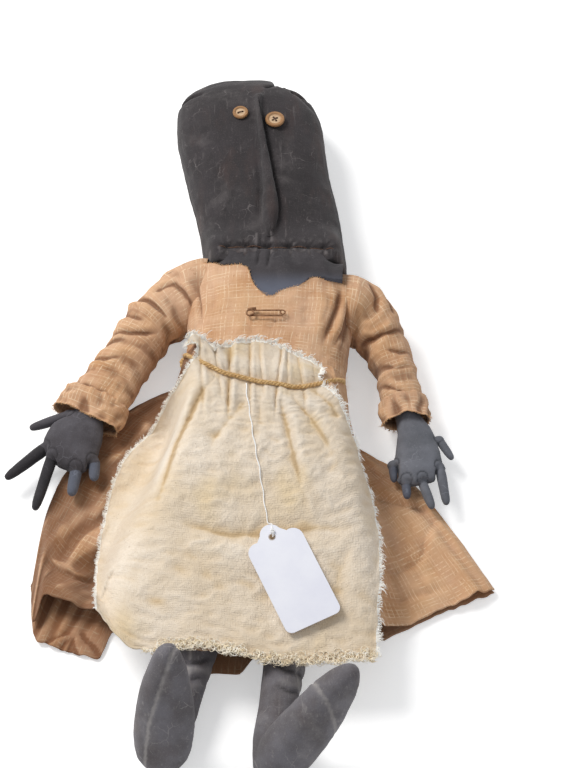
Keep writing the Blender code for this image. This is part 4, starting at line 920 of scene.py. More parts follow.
SKIRT_CREASES = (
    (((-52, 46), (-66, 14), (-86, -20), (-108, -50), (-124, -76)), 4.0, 3.0, -0.8),
    (((-60, 40), (-84, 8), (-112, -22), (-138, -46)), 3.6, 2.6, 0.8),
    (((-66, 10), (-78, -26), (-92, -58), (-100, -88)), 3.4, 2.6, -0.7),
    (((-128, -6), (-140, -30), (-148, -52)), 3.0, 1.8, 0.6),
    (((-148, -66), (-136, -73), (-124, -79), (-108, -74)), 2.6, 3.0, 0.8),
    (((66, 2), (78, -5), (90, -8), (104, -12.6), (120, -10)), 2.6, 2.4, 0.7),
    (((116, -12), (112, -22), (106, -35), (102, -50), (86, -61), (74, -57)), 2.8, 2.0, 0.7),
    (((120, -15), (126, -21), (134, -28), (140, -40)), 2.4, 1.8, 0.7),
    (((72, -84), (90, -80), (108, -74), (128, -66)), 3.4, 1.4, 0.6),
    (((66, 26), (76, 14), (90, 10)), 2.6, 1.6, 0.6),
)
LEFT_LEG_CREASES = (
    (((-46, -120), (-49, -150), (-58, -170), (-70, -190), (-74, -205)), 0.9, 0.9, 0.3),
    (((-30, -128), (-40, -136), (-52, -138), (-62, -134)), 2.2, 1.1, 0.5),
    (((-34, -142), (-46, -148), (-62, -146)), 2.0, 0.8, 0.5),
)
RIGHT_LEG_CREASES = (
    (((18, -120), (22, -150), (34, -176), (46, -192), (56, -204)), 0.9, 0.9, -0.3),
    (((2, -134), (14, -142), (26, -142), (38, -134)), 2.2, 1.1, 0.5),
    (((4, -150), (16, -156), (30, -152)), 2.0, 0.8, 0.5),
)
LEFT_SLEEVE = (
    (-0.14, 0.0, 1, 0.40, 0.47, -4), (0, 0.06, 1, 0.41, 0.48, 12), (0.125, 0.135, 0.906, 0.35, 0.41, 34),
    (0.252, 0.26, 0.849, 0.318, 0.36, 46), (0.355, 0.44, 0.792, 0.298, 0.31, 60),
    (0.49, 0.67, 0.717, 0.315, 0.28, 66), (0.6, 0.86, 0.653, 0.345, 0.245, 66),
)
LEFT_CUFF = (
    (0.6, 0.815, 0.653, 0.385, 0.266, 66), (0.63, 0.9, 0.64, 0.4, 0.244, 65),
    (0.662, 0.985, 0.623, 0.385, 0.205, 64.5),
)
RIGHT_SLEEVE = (
    (-0.14, -0.02, 1, 0.36, 0.47, -4), (0, 0.045, 1, 0.385, 0.5, 10), (0.115, 0.125, 0.906, 0.315, 0.4, 42),
    (0.213, 0.32, 0.83, 0.262, 0.31, 64), (0.285, 0.57, 0.717, 0.23, 0.262, 75),
    (0.318, 0.76, 0.649, 0.232, 0.235, 81),
)
RIGHT_CUFF = (
    (0.312, 0.715, 0.649, 0.262, 0.262, 81), (0.33, 0.8, 0.64, 0.268, 0.254, 81.5),
    (0.342, 0.882, 0.623, 0.258, 0.236, 81.5),
)
LEFT_CREASES = (
    (((-100, 146), (-94.1, 141.6), (-82.1, 134.5), (-70, 123.1), (-62, 118)), 2.0, 2.6, -0.7),
    (((-110, 114), (-101.1, 113.2), (-94, 110.4), (-83.5, 109.7), (-72, 112)), 2.0, 2.2, 0.7),
    (((-118, 106), (-112.4, 106.2), (-105.5, 107.6), (-95, 106)), 1.8, 1.6, 0.7),
    (((-68, 148), (-60, 140), (-51.2, 128.9), (-46.3, 119)), 2.0, 1.6, 0.7),
    (((-80, 140), (-70, 144), (-60, 146)), 1.8, 1.2, 0.7),
    (((-90, 158), (-76, 156), (-62, 158)), 2.2, 1.2, 0.7),
    (((-104, 132), (-94, 124), (-82, 118)), 1.8, 1.2, -0.7),
    (((-124, 98), (-112, 92), (-98, 93)), 1.8, 1.3, -0.6),
    (((-130, 76), (-118, 70), (-106, 64)), 1.6, 0.9, 0.6),
)
RIGHT_CREASES = (
    (((60, 108), (66, 106.6), (74, 105.8), (86, 111), (96, 118)), 1.9, 2.4, 0.7),
    (((65.1, 104), (71.7, 89.9), (74.1, 73.4)), 2.0, 1.3, -0.6),
    (((76, 76), (84, 71), (92, 66.9), (106, 57)), 1.8, 1.5, 0.6),
    (((70, 150), (77, 136), (76, 120)), 2.2, 2.0, 0.6),
    (((78, 150), (86, 134), (90, 120)), 2.0, 1.2, 0.6),
    (((80, 98), (92, 96), (102, 100)), 1.8, 1.2, -0.6),
    (((76, 86), (90, 84), (104, 88)), 1.6, 1.0, 0.6),
)
BODICE_CREASES = (
    (((8, 107), (5, 104), (1.7, 96)), 1.3, 1.5, -0.6),
    (((59, 152), (57.8, 129), (52, 103.9), (43.5, 82.5)), 2.2, 3.4, -0.9),
    (((52, 142), (49, 122), (43, 102), (37, 84)), 2.8, 2.8, -0.8),
    (((45, 136), (42, 118), (36, 98)), 2.6, 1.4, -0.6),
    (((63, 146), (60, 124), (54, 102), (49, 82)), 1.8, 2.2, -0.7),
    (((-51.4, 160), (-49.4, 143.2), (-46.7, 129), (-44.6, 112.1), (-44, 96)), 1.4, 1.6, -0.5),
    (((-40, 150), (-36, 130), (-38, 108)), 4.0, 0.7, 0.5),
    (((20, 130), (26, 112), (24, 92)), 5.5, 0.6, 0.5),
    (((-16, 112), (-10, 96), (-12, 86)), 3.4, 0.5, 0.5),
    (((2, 110), (6, 96), (5, 86)), 3.4, 0.5, -0.5),
)
NECKLINE = (
    (-46, 178), (-44.5, 166), (-43, 162), (-37, 158.4), (-30, 154.5), (-24, 153.6), (-16, 153), (-12.6, 151),
    (-10, 145), (-8.6, 138), (-5, 132.5), (-1, 128), (3.5, 124.4), (7.5, 126.2), (11, 130), (17, 132.4),
    (23, 134.2), (27, 138), (30, 142), (33, 143), (42, 142.2), (52, 141.4), (57, 141.2), (59, 152), (61, 163),
)
BODICE_ROWS = (
    (0, -0.49, 0.469, 0.021, 1), (0.2, -0.487, 0.482, 0.021, 0.99), (0.45, -0.478, 0.509, 0.021, 0.975),
    (0.7, -0.471, 0.531, 0.021, 0.961), (0.85, -0.464, 0.536, 0.021, 0.954), (1, -0.447, 0.527, 0.028, 0.951),
)
BODICE_SIZE = (0.113, 0.061)
NAPE = 0.156
SHOULDERS = {-1: (-0.05633, 0.151), 1: (0.06187, 0.139)}
SLEEVE_SIZE = {"reach": 0.100, "height": 0.0265, "width": 0.060, "depth": 0.049}
SLEEVE_COLUMNS, CUFF_ROWS = 150, 36
PLEATS = (
    (-43.9, -42.1, 1.1, 1.9), (-33.9, -30.3, 1.1, 1.6), (-23.9, -24.3, 1.5, 3.8),
    (-10.5, -10.3, 1.0, 2.2), (-3.8, -1.9, 0.9, 1.3), (10.5, 8.0, 1.0, 2.4),
    (14.6, 14.9, 0.9, 1.2), (21.3, 24.6, 1.1, 1.9), (31, 33, 1.0, 1.0),
)
FINGERS = {
    "left": (
        ("thumb", -0.13545, 0.0557), ("index_finger", -0.15085, 0.0289), ("middle_finger", -0.1452, 0.0208),
        ("ring_finger", -0.12785, 0.0119), ("little_finger", -0.11585, 0.0179),
    ),
    "right": (
        ("thumb", 0.1182, 0.036), ("index_finger", 0.1176, 0.0138), ("middle_finger", 0.1051, 0.0034),
        ("ring_finger", 0.0942, 0.0027), ("little_finger", 0.0857, 0.016),
    ),
}
FINGER_WIDTH = {"left": 0.0092, "right": 0.0074}
PIN_WIRE = 0.0006
WAIST = 0.080
ROPE_FRONT = (
    (0, 0.824), (20, 0.79), (35, 0.69), (49, 0.61), (63, 0.59), (96, 0.64), (127, 0.725), (144, 0.89),
    (160, 1.06), (180, 1.176),
)
ROPE_RADIUS, ROPE_LAY = 0.0017, 0.0075
HAIR_RADIUS = 0.00006
STRING = (
    (-0.0130, 0), (-0.0120, 0.109), (-0.0105, 0.212), (-0.0085, 0.368), (-0.0060, 0.523),
    (-0.0030, 0.689), (-0.0005, 0.855), (0.0018, 1),
)
STRING_START, STRING_WIDTH, STRING_LAY = 0.0505, 0.0011, 0.0026
TAG_HOLE = (0.0047, -0.0583)
TAG_NECK = 0.0088

TABLE_GAP, COVER_GAP = 0.0003, 0.0002
CLOTH_THICKNESS, LINING_THICKNESS = 0.0008, 0.0006
FACE_HEIGHT, MOUTH_Y = 0.0572, 0.1703
HEAD_SEAM, HAND_SEAM, FINGER_HEIGHT = 0.029, 0.0172, 0.0162
BELT_MIDDLE = 0.0285


def waist_line(x):
    """How far up the waist lies at this place across, for it slopes."""
    return WAIST - 0.25 * x


def shoulder_line(x):
    """How far up the shoulders lie at this place across."""
    return 0.1640 - 0.17 * x


def rope_line(x):
    """Where the rope crosses the front, at this place across it."""
    angles, shares = np.array(ROPE_FRONT, float).T
    across = 0.056 * np.cos(np.radians(angles))
    return np.interp(x, across[::-1], (shares * WAIST)[::-1])


# The stuffed pieces

def finished(obj, body, replaced=(), ride=True):
    """Says which body a piece rides on and which solids it stands in for."""
    if ride:
        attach(obj, body)
    if replaced:
        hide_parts(*replaced)
    return obj


def stuffed(name, shapes, step, finish, body, lump, seed, rounds=4, shape=None, replaced=()):
    """A piece of stuffed cloth: one closed skin, lumpy, and shaped further by a function."""
    obj = remeshed(name, shapes, step, finish, rounds)
    points, normals = array_of(obj.data), outward(obj.data)
    height = lump * lumps(points, 0.022, seed) + 0.45 * lump * lumps(points, 0.008, seed + 1)
    hollow = np.zeros(len(points))
    # The shaping function also gives each point its painted shade and highlight, and any real scuffs.
    if shape:
        more, hollow = shape(points, normals)
        height = height + more
    points = points + normals * height[:, None]
    points[:, 2] = np.maximum(points[:, 2], COVER_GAP)
    set_points(obj.data, points)
    keep(obj.data, PAINTED_SHADE_AND_WEAR, hollow)
    finished(obj, body, replaced)
    return obj


def flatten_chin(points):
    """Raises the face below the nose to one level, so that the chin's cloth runs on from it."""
    low = eased((points[:, 2] - 0.034) / 0.010) * eased((0.200 - points[:, 1]) / 0.026)
    points[:, 2] += 0.85 * low * np.maximum(FACE_HEIGHT - points[:, 2], 0)


def nick_crown(points):
    """Nicks down into the crown's edge, and one in from each side of it."""
    for x, width, depth in CROWN_NICKS:
        near = eased((points[:, 1] - 0.318) / 0.014)
        points[:, 1] -= depth * hump(points[:, 0] - x, width) * near
    left = eased((-0.045 - points[:, 0]) / 0.01)
    points[:, 0] += 0.0052 * hump(points[:, 1] - 0.3135, 0.0017) * left
    right = window(points[:, 0], 0.016, 0.034, 0.005)
    points[:, 0] -= 0.0040 * hump(points[:, 1] - 0.3155, 0.0026) * right


def mouth_height(points, front):
    """A groove along the mouth with swollen sides, and puckers round each stitch's end."""
    x, y = points[:, 0], points[:, 1]
    side, share = along_line(points, MOUTH)
    reach = tapered(share, 0.12, 0.12) * front
    height = -0.0013 * hump(side, 0.0016) * reach
    height += 0.0004 * (hump(side - 0.0045, 0.003) + hump(side + 0.0045, 0.003)) * reach
    for at in STITCHES:
        gone = np.hypot(x - at / 1000, y - MOUTH_Y)
        turn = np.arctan2(y - MOUTH_Y, x - at / 1000)
        height -= 0.0013 * hump(gone, 0.0026) * front
        height += 0.0006 * np.cos(7 * turn + at) * hump(gone - 0.0045, 0.0030) * front
    return height


def rubbed_face(points, front, hollow):
    """The painted shade and highlight, with real pale scuffs beside the mouth and on the tip of the nose."""
    x, y = points[:, 0], points[:, 1]
    for at, low, high in SCUFFS:
        streak = hump(x - at / 1000, 0.0010) * window(y, low / 1000, high / 1000, 0.002) * front
        hollow = np.clip(hollow - 0.9 * streak, -1, 1)
    tip = hump(np.hypot(x - 0.001, y - 0.186), 0.006) * eased(0.6 + 1.6 * lumps(points, 0.004, 8))
    return np.clip(hollow - 0.5 * tip * front, -1, 1)


def head_shape(points, normals):
    """The head's creases, the fold along the nose, the mouth, the slit in the crown and the side seam, with
    painted shade in the creases, fold and mouth and painted highlight on ridges.
    """
    flatten_chin(points)
    nick_crown(points)
    front = eased((normals[:, 2] - 0.1) / 0.4)
    edge, share = along_line(points, NOSE_EDGE)
    fold = np.exp(-np.abs(edge) / 0.0009) * tapered(share, 0.06, 0.1) * front
    height = creases(points, HEAD_CREASES) * front - 0.0009 * fold + mouth_height(points, front)
    # Painted shade along the nose's fold and in the creases and mouth, painted highlight on ridges; the
    # scuffs added to it are real wear.
    hollow = rubbed_face(points, front, np.clip(0.8 * fold - height / 0.0018, -0.6, 1))
    slit, share = along_line(points, CROWN_SLIT)
    reach = eased((points[:, 2] - 0.012) / 0.01) * eased((1 - share) / 0.2)
    height -= 0.0042 * np.exp(-np.abs(slit) / 0.0009) * reach
    level = HEAD_SEAM + 0.002 * lumps(points, 0.05, 9)
    seam = hump(points[:, 2] - level, 0.0011) * (1 - np.abs(normals[:, 2]))
    return height - 0.0007 * seam, np.clip(hollow + 0.8 * seam, -1, 1)


def chin(finish, dress, head):
    """The cloth below the mouth, which runs on under the neckline and joins the head to the chest."""
    share, turn = shares_over(60, 90, -1)
    y = CHIN["top"] - CHIN["length"] * share
    middle = CHIN["middle"] + 0.002 * share
    half = CHIN["half"] - 0.003 * (1 - eased(share / 0.2)) - 0.004 * share
    flat = np.stack([middle + half * turn, y], -1)
    z = CHIN["height"] - 0.018 * np.maximum(np.abs(turn) - 0.72, 0) ** 2 / 0.0784
    z = z - 0.0015 * eased((share - 0.75) / 0.25)
    cover = Under(dress).tops(flat, 1.0)
    cover = np.where(cover < 0.03, 1.0, cover - 0.0026)
    above = filled(Under(head).tops(flat))
    z = (above + z + np.sqrt((above - z) ** 2 + 0.0026 ** 2)) / 2
    z -= 0.0018 * eased((0.26 - share) / 0.26)
    z -= 0.005 * eased((0.42 - share) / 0.30) * eased((np.abs(turn) - 0.66) / 0.26)
    z = np.minimum(z, cover)
    height = creases(flat, CHIN_TUCKS) + 0.0005 * lumps(flat[..., [0, 1, 1]], 0.012, 44)
    grid = np.dstack([flat, np.minimum(z + height, cover)])
    # Painted shade in the tucks, painted highlight on their ridges.
    place, hollow = np.dstack([flat, 0 * y]), np.clip(-height / 0.0016, -0.5, 1)
    obj = cloth_piece("chin_cover", grid, finish, CHIN_THICKNESS, place, hollow)
    finished(obj, "torso", ride=False)
    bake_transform(obj)


def leg_shape(lines):
    """Wrinkles across an ankle, and a seam sewn down the front and over the toe; painted shade in the
    wrinkles and painted highlight on their ridges.
    """
    def shape(points, normals):
        front = eased((normals[:, 2] + 0.55) / 0.5)
        height = creases(points, lines) * front
        edge, share = along_line(points, lines[0][0])
        stitched = 0.85 + 0.15 * np.cos(share * 90)
        seam = hump(edge, 0.0009) * tapered(share, 0.05, 0.05) * front * stitched
        # Painted shade in the wrinkles and painted highlight on their ridges; the seam's pale stitches are
        # real.
        return height, np.clip(np.clip(-height / 0.0010, -0.5, 1) - 2.2 * seam, -1, 1)
    return shape


def arm_shape(points, normals):
    """Thinner above the wrist, so that the sleeve has room for its folds."""
    above = eased((points[:, 1] - 0.070) / 0.012)
    points[:, 0] += np.where(points[:, 0] < 0, 0.0075, -0.001) * window(points[:, 1], 0.075, 0.160, 0.02)
    return -0.0035 * above, 0 * above


def palm_shape(points, normals):
    """A seam round the hand, and one round the root of each finger."""
    height = 0.0004 * lumps(points, 0.006, 33)
    seam = hump(points[:, 2] - HAND_SEAM, 0.0006) * (1 - np.abs(normals[:, 2]))
    front = eased((normals[:, 2] - 0.1) / 0.4)
    for side, table in FINGERS.items():
        for _, x, y in table:
            gone = np.hypot(points[:, 0] - x, points[:, 1] - y)
            seam = np.maximum(seam, hump(gone - 0.52 * FINGER_WIDTH[side], 0.0006) * front)
    return height - 0.0005 * seam, 0.9 * seam


def stuffed_pieces(skin):
    """Covers for the head, chest, legs, arms, hands and fingers."""
    nose_points, nose_faces = cad("nose")
    near = nose_points[:, 2] < Under(NODES["head"]).tops(nose_points[:, :2]) + 0.001
    nose_points[near, 2] -= 0.003
    nose_points[:, 2] -= 0.016 * eased((nose_points[:, 1] - 0.302) / 0.016)
    nose_points[:, 1] = np.minimum(nose_points[:, 1], 0.334)
    stuffed("head_cover", [cad("head"), (nose_points, nose_faces)], 0.0013, skin["head"], "head",
            0.0008, 1, 7, head_shape, ("head", "nose"))
    stuffed("chest_cover", [cad("torso")], 0.0026, skin["neck"], "torso", 0.0006, 4, 5,
            replaced=("torso",))
    for side, lines in (("left", LEFT_LEG_CREASES), ("right", RIGHT_LEG_CREASES)):
        leg, arm, hand, slot = (f"{piece}_{side}" for piece in ("leg", "arm", "hand", "hand_cloth"))
        stuffed(leg + "_cover", [cad(leg)], 0.0017, skin["leg"], leg, 0.0007, 11, 6,
                leg_shape(lines), (leg,))
        stuffed(arm + "_cover", [cad(arm)], 0.0022, skin[side], arm, 0.0006, 14, 5, arm_shape, (arm,))
        half = FINGER_WIDTH[side] / 2
        balls = [round_ball((x, y, FINGER_HEIGHT), half * 0.98) for _, x, y in FINGERS[side]]
        stuffed(hand + "_palm", [cad(hand), *balls], 0.0011, skin[side], hand, 0.0006, 17, 6,
                palm_shape, (hand,))
        for number, (finger, x, y) in enumerate(FINGERS[side]):
            node = f"{finger}_{side}"
            tone = "dark" if side == "left" and number in (1, 2) else "blue" if number > 2 else side
            root = round_ball((x, y, FINGER_HEIGHT), half * 0.9)
            stuffed(node + "_cover", [cad(node), root], 0.0008, skin[tone], node, 0.0003,
                    20 + number, 5, replaced=(node,))


# The dress

def ring_place(turn, power):
    """Places round a closed curve between a circle and a rounded box."""
    c, s = np.cos(turn), np.sin(turn)
    return np.sign(c) * np.abs(c) ** (2 / power), np.sign(s) * np.abs(s) ** (2 / power)


def bodice_top(x, rise, left, right):
    """How far up the bodice reaches: the ragged neckline in front, the nape behind, the shoulders."""
    line = np.array(NECKLINE, float) / 1000
    shoulder = shoulder_line(x)
    ragged = 0.0009 * lumps(np.stack([x, rise * 0.02, 0 * x], -1), 0.004, 61)
    front = np.minimum(np.interp(x, line[:, 0], line[:, 1], left=1, right=1), shoulder) + ragged
    back = np.where((x > left + 0.006) & (x < right - 0.004), NAPE, shoulder)
    return np.where(rise > 0, front, back)


def bodice_height(grid, place, low, facing):
    """The bodice's creases, the gathers at its waist and its unevenness."""
    above = grid[..., 1] - low
    height = creases(grid, BODICE_CREASES) * facing
    gathers = lumps(place, 0.0042, 63, (1, 0.14, 1)) * (1 - eased(above / 0.022))
    height += 0.0011 * gathers - 0.0022 * (1 - eased(above / 0.011))
    height += 0.0009 * lumps(place, 0.016, 64, (1, 0.7, 1)) + 0.0004 * lumps(place, 0.005, 65)
    return height + 0.0006 * crumpled(place, 0.022, 67, (1.2, 0.6, 1))


def bodice(finish, fray):
    """A closed tube of cloth from the waist up to the neckline, and its frayed edge."""
    rows, cols = 96, 230
    across, rise = ring_place(np.linspace(0, math.tau, cols, endpoint=False), 2.7)
    table = np.array(BODICE_ROWS)
    left, right = table[-1, 1] * BODICE_SIZE[0], table[-1, 2] * BODICE_SIZE[0]
    x_top = (left + right) / 2 + (right - left) / 2 * across
    top = bodice_top(x_top, rise, left, right)
    share = np.linspace(0, 1, rows)[:, None]
    x = np.broadcast_to(x_top, (rows, cols)).copy()
    for _ in range(3):
        low = waist_line(x) - 0.007
        y = low + (top - low) * share
        along = (y - low) / (shoulder_line(x) - low)
        wide = [np.interp(along, table[:, 0], table[:, k]) * BODICE_SIZE[0] for k in (1, 2)]
        x = (wide[0] + wide[1]) / 2 + (wide[1] - wide[0]) / 2 * across
    high = [np.interp(along, table[:, 0], table[:, k]) * BODICE_SIZE[1] for k in (3, 4)]
    closing = 1 - 0.75 * eased((along - 0.86) / 0.14) * eased((np.abs(across) - 0.75) / 0.25)
    z = (high[0] + high[1]) / 2 + (high[1] - high[0]) / 2 * rise * closing
    grid = np.stack([x, y, z], -1)
    middle = np.stack([(wide[0] + wide[1]) / 2, y, 0 * y + 0.03], -1)
    facing = eased(rise * 1.6 + 0.2)
    arc = np.concatenate([[0], np.cumsum(np.hypot(np.diff(x_top), np.diff(z[-1])))])
    place = np.stack([np.broadcast_to(arc, x.shape), y, 0 * y], -1)
    height = bodice_height(grid, place, low, facing)
    # Painted shade in the creases and down the right side, away from the lamp; painted light over the front.
    painted_shading = painted_crease_shading(height, 0.0017, 6, True) + 0.55 * eased((x - 0.034) / 0.02) * facing - 0.15 * facing
    grid = swollen(grid, middle, height + 0.0006 * hump(share - 1, 0.02))
    obj = cloth_piece("bodice_cloth", grid, finish, CLOTH_THICKNESS, place, painted_shading, True, grid - middle)
    edge, inside = grid[-1, rise > 0], grid[-4, rise > 0]
    frayed = fringe("neckline_fray", edge, edge - inside, 0.0016, 0.00013, fray, 66, 2.4)
    finished(frayed, "torso")
    finished(obj, "torso", ("bodice",))
    return obj


def sleeve_grid(table, side, rows, cols):
    """A sleeve's outer side, its middle line and how far each place faces up."""
    table = spline_weights(len(table), np.linspace(0, 1, rows)) @ np.array(table)
    out, down, height, width, depth, degrees = table.T
    turn = np.radians(degrees)
    x, y = SHOULDERS[side]
    reach = SLEEVE_SIZE["reach"]
    middle = np.stack([x + side * out * reach, y - down * reach, height * SLEEVE_SIZE["height"]], -1)
    aside = np.stack([np.sin(turn), side * np.cos(turn), 0 * turn], -1)
    across, rise = ring_place(np.linspace(0, math.tau, cols, endpoint=False), 2.2)
    wide = (width * SLEEVE_SIZE["width"])[:, None, None] * across[None, :, None]
    deep = (depth * SLEEVE_SIZE["depth"])[:, None, None] * rise[None, :, None]
    return middle[:, None] + aside[:, None] * wide + np.array([0, 0, 1.0]) * deep, middle, rise


def sleeve(name, table, side, lines, finish, seed, rows=140, cuff=False):
    grid, middle, rise = sleeve_grid(table, side, rows, SLEEVE_COLUMNS)
    centre = middle[:, None] + 0 * grid
    facing = eased(rise * 1.5 + 0.35)
    around, down = walked_along(grid[rows // 2]), walked_along(middle)
    place = np.stack(np.broadcast_arrays(around[None, :], down[:, None], np.zeros((1, 1))), -1) + seed
    height = creases(grid, lines) * facing
    share = np.linspace(0, 1, rows)[:, None]
    if cuff:
        height += 0.0006 * lumps(place, 0.004, seed, (1, 0.5, 1)) + 0.0022 * lumps(place, 0.013, seed + 1)
        height += 0.0014 * crumpled(place, 0.010, seed + 3, (1, 0.8, 1))
        height += 0.0009 * eased((share - 0.86) / 0.14) - 0.0012 * (1 - eased(share / 0.12))
        ragged = 0.16 * share * lumps(place * [1, 0, 0], 0.014, seed + 5)
        grid = grid + (grid[-1:] - grid[:1]) * ragged[..., None]
    else:
        height += 0.0012 * lumps(place, 0.013, seed, (0.55, 1.3, 1)) + 0.0004 * lumps(place, 0.005, seed + 1)
        height += 0.0013 * crumpled(place, 0.017, seed + 7, (0.55, 1.25, 1))
        height += 0.0011 * lumps(place, 0.0045, seed + 2, (1, 0.2, 1)) * eased((share - 0.82) / 0.18)
    grid = swollen(grid, centre, height)
    # Painted shade in the creases, painted highlight on the ridges, and a little darker all over.
    hollow = painted_crease_shading(height, 0.0011, 5, True) + 0.12
    return cloth_piece(name, grid, finish, CLOTH_THICKNESS, place, hollow, True, grid - centre)


def sleeves(finish, fray):
    """Both sleeves, with their turned cuffs and frayed ends."""
    for side, word, table, cuff, lines in ((-1, "left", LEFT_SLEEVE, LEFT_CUFF, LEFT_CREASES),
                                           (1, "right", RIGHT_SLEEVE, RIGHT_CUFF, RIGHT_CREASES)):
        body, node = "arm_" + word, "sleeve_" + word
        obj = sleeve(node + "_cloth", table, side, lines, finish, 71 + side)
        band = sleeve(node + "_cuff", cuff, side, (), finish, 81 + side, CUFF_ROWS, True)
        for piece in (obj, band):
            finished(piece, body, (node,))
        grid = array_of(band.data)[:CUFF_ROWS * SLEEVE_COLUMNS].reshape(CUFF_ROWS, SLEEVE_COLUMNS, 3)
        ends = fringe(node + "_fray", grid[-1], grid[-1] - grid[-4], 0.0026, 0.00016, fray, 84 + side, 2.0)
        finished(ends, body)


def cloth_grid(table, size, middle, rows, cols):
    """Places across a cloth, from its table of shares."""
    table = np.array(table)
    down = spline_weights(table.shape[0], np.linspace(0, 1, rows))
    across = spline_weights(table.shape[1], np.linspace(0, 1, cols))
    x = down @ table[..., 0] @ across.T * size[0]
    y = middle[0] + (down @ table[..., 1] @ across.T - middle[1]) * size[1]
    return np.stack([x, y], -1)


def skirt_front(flat, share, turn, place, covers, finish):
    """The front panel: folds that run down it, and a hem that rolls up at the left."""
    x = flat[..., 0]
    top = blurred(filled(Under(NODES["skirt_front"]).tops(flat)), (1.2, 1.2))
    below = filled(Under(*covers).tops(flat, 0.0))
    arch = window(x, *HEM_ROLL)
    lift = arch * eased((share - 0.70) / 0.30)
    across = turn * SKIRT_SPREAD[0]
    folds = lumps(np.stack([across, share * 0.045, 0 * turn], -1), 0.022, 93)
    folds += 0.6 * lumps(np.stack([across, share * 0.06, 0 * turn], -1), 0.009, 94)
    sides = 0.35 + 0.65 * np.maximum(eased((0.34 - turn) / 0.2), 0.6 * eased((turn - 0.7) / 0.15))
    height = 0.0042 * (folds + 0.45) * sides * eased(share / 0.25)
    height = np.maximum(height, -0.001) + creases(flat, SKIRT_CREASES) * eased(share / 0.2)
    height += 0.0007 * lumps(place, 0.009, 95)
    height += 0.0012 * crumpled(place, 0.026, 97, (1.2, 0.7, 1)) * eased(share / 0.2)
    front = np.maximum(top + height, below + 0.0016)
    shown = eased((-0.110 - x) / 0.018)
    roll = HEM_ROLL_RISE * lift + 0.004 * arch * hump(share - 0.80, 0.07)
    front = np.maximum(front, 0.0042) + roll * shown
    grid = np.dstack([flat, front])
    grid[..., 1] += HEM_ROLL_REACH * lift * eased((share - 0.70) / 0.30)
    # Painted shade in the folds, over the left part and under the hem's roll; painted light over the right
    # part and on the ridges.
    hollow = painted_crease_shading(height, 0.0018) + 0.95 * eased((0.42 - turn) / 0.2) - 0.6 * eased((turn - 0.6) / 0.2)
    hollow = np.clip(hollow + 0.2 * hump(share - 0.86, 0.05) * arch, -0.8, 1)
    return cloth_piece("skirt_front_cloth", grid, finish, CLOTH_THICKNESS, place, hollow)


def skirt_back(flat, turn, place, finish):
    """The back panel, flat on the table, gathered at its left corner."""
    rise = 0.0016 * np.maximum(crumpled(place, 0.02, 98, (1.6, 0.5, 1)), -0.4) * eased((0.3 - turn) / 0.1)
    rise = rise + creases(flat, BACK_GATHERS)
    grid = np.dstack([flat, 0.0018 + 0.0007 * lumps(place, 0.03, 96) + np.maximum(rise, -0.0006)])
    grid[..., 1] -= 0.001
    # Painted shade: darker all over and in the gathers, as it lies under the front panel's rolled hem.
    painted_shading = painted_crease_shading(rise, 0.0009) + 0.35
    return cloth_piece("skirt_back_cloth", grid, finish, LINING_THICKNESS, place + 0.4, painted_shading)


def skirts(finish, inner, covers):
    """The skirt's front and back panels."""
    rows, cols = 130, 210
    flat = cloth_grid(SKIRT_GRID, SKIRT_SIZE, (0.077, 0.385), rows, cols)
    share, turn = shares_over(rows, cols)
    place = np.stack([turn * SKIRT_SPREAD[0], share * SKIRT_SPREAD[1], 0 * turn], -1)
    ragged = (0.0012 * lumps(place, 0.006, 91) + 0.0016 * lumps(place, 0.02, 92)) * eased((share - 0.9) / 0.1)
    raised = sum(high * window(flat[..., 0], *where) for high, *where in HEM_RISES)
    flat[..., 1] += ragged + raised * eased((share - 0.5) / 0.5)
    front = skirt_front(flat, share, turn, place, covers, finish)
    # The back panel takes the inside finish, which is painted darker as shade.
    back = skirt_back(flat, turn, place, inner)
    finished(front, "lap", ("skirt_front",), ride=False)
    finished(back, "lap", ("skirt_back",), ride=False)
    return front, back


# The apron

def fringe(name, roots, outwards, length, radius, finish, seed, per_mm=1.6, curl=1.0, lift=0.25):
    """Threads that stand out of a cloth's edge, curling more towards their ends."""
    rng = np.random.default_rng(seed)
    roots, outwards = np.asarray(roots, float), unit(np.asarray(outwards, float))
    walked = walked_along(roots)
    count = max(int(walked[-1] * 1000 * per_mm), 8)
    at = np.sort(rng.uniform(0, walked[-1], count))
    root, out = picked(roots, walked, at), picked(outwards, walked, at)
    long = length * rng.uniform(0.35, 1.25, count) * (0.6 + 0.5 * np.sin(at * 260 + seed) ** 2)
    s = np.linspace(0, 1, 7)[None, :, None]
    turn = rng.uniform(0, math.tau, (count, 1, 1)) + s * rng.uniform(1.5, 5.5, (count, 1, 1)) * curl
    side = unit(np.cross(out, [0, 0, 1.0]))
    sway = rng.normal(0, 0.35, (count, 1, 1)) * s + 0.22 * curl * s * np.sin(turn)
    rise = lift * s * rng.uniform(0.2, 1, (count, 1, 1)) + 0.2 * curl * s * np.cos(turn)
    ahead = s * (1 - 0.3 * curl * s * (s > 0.5))
    routes = out[:, None] * ahead + side[:, None] * sway + np.array([0, 0, 1.0]) * rise
    routes = routes * long[:, None, None]
    routes[:, 0] = -0.0006 * out
    low = 2 * TABLE_GAP - root[:, None, 2:3]
    routes[..., 2:3] = np.maximum(routes[..., 2:3], low)
    return strands(name, root, routes, radius, finish)


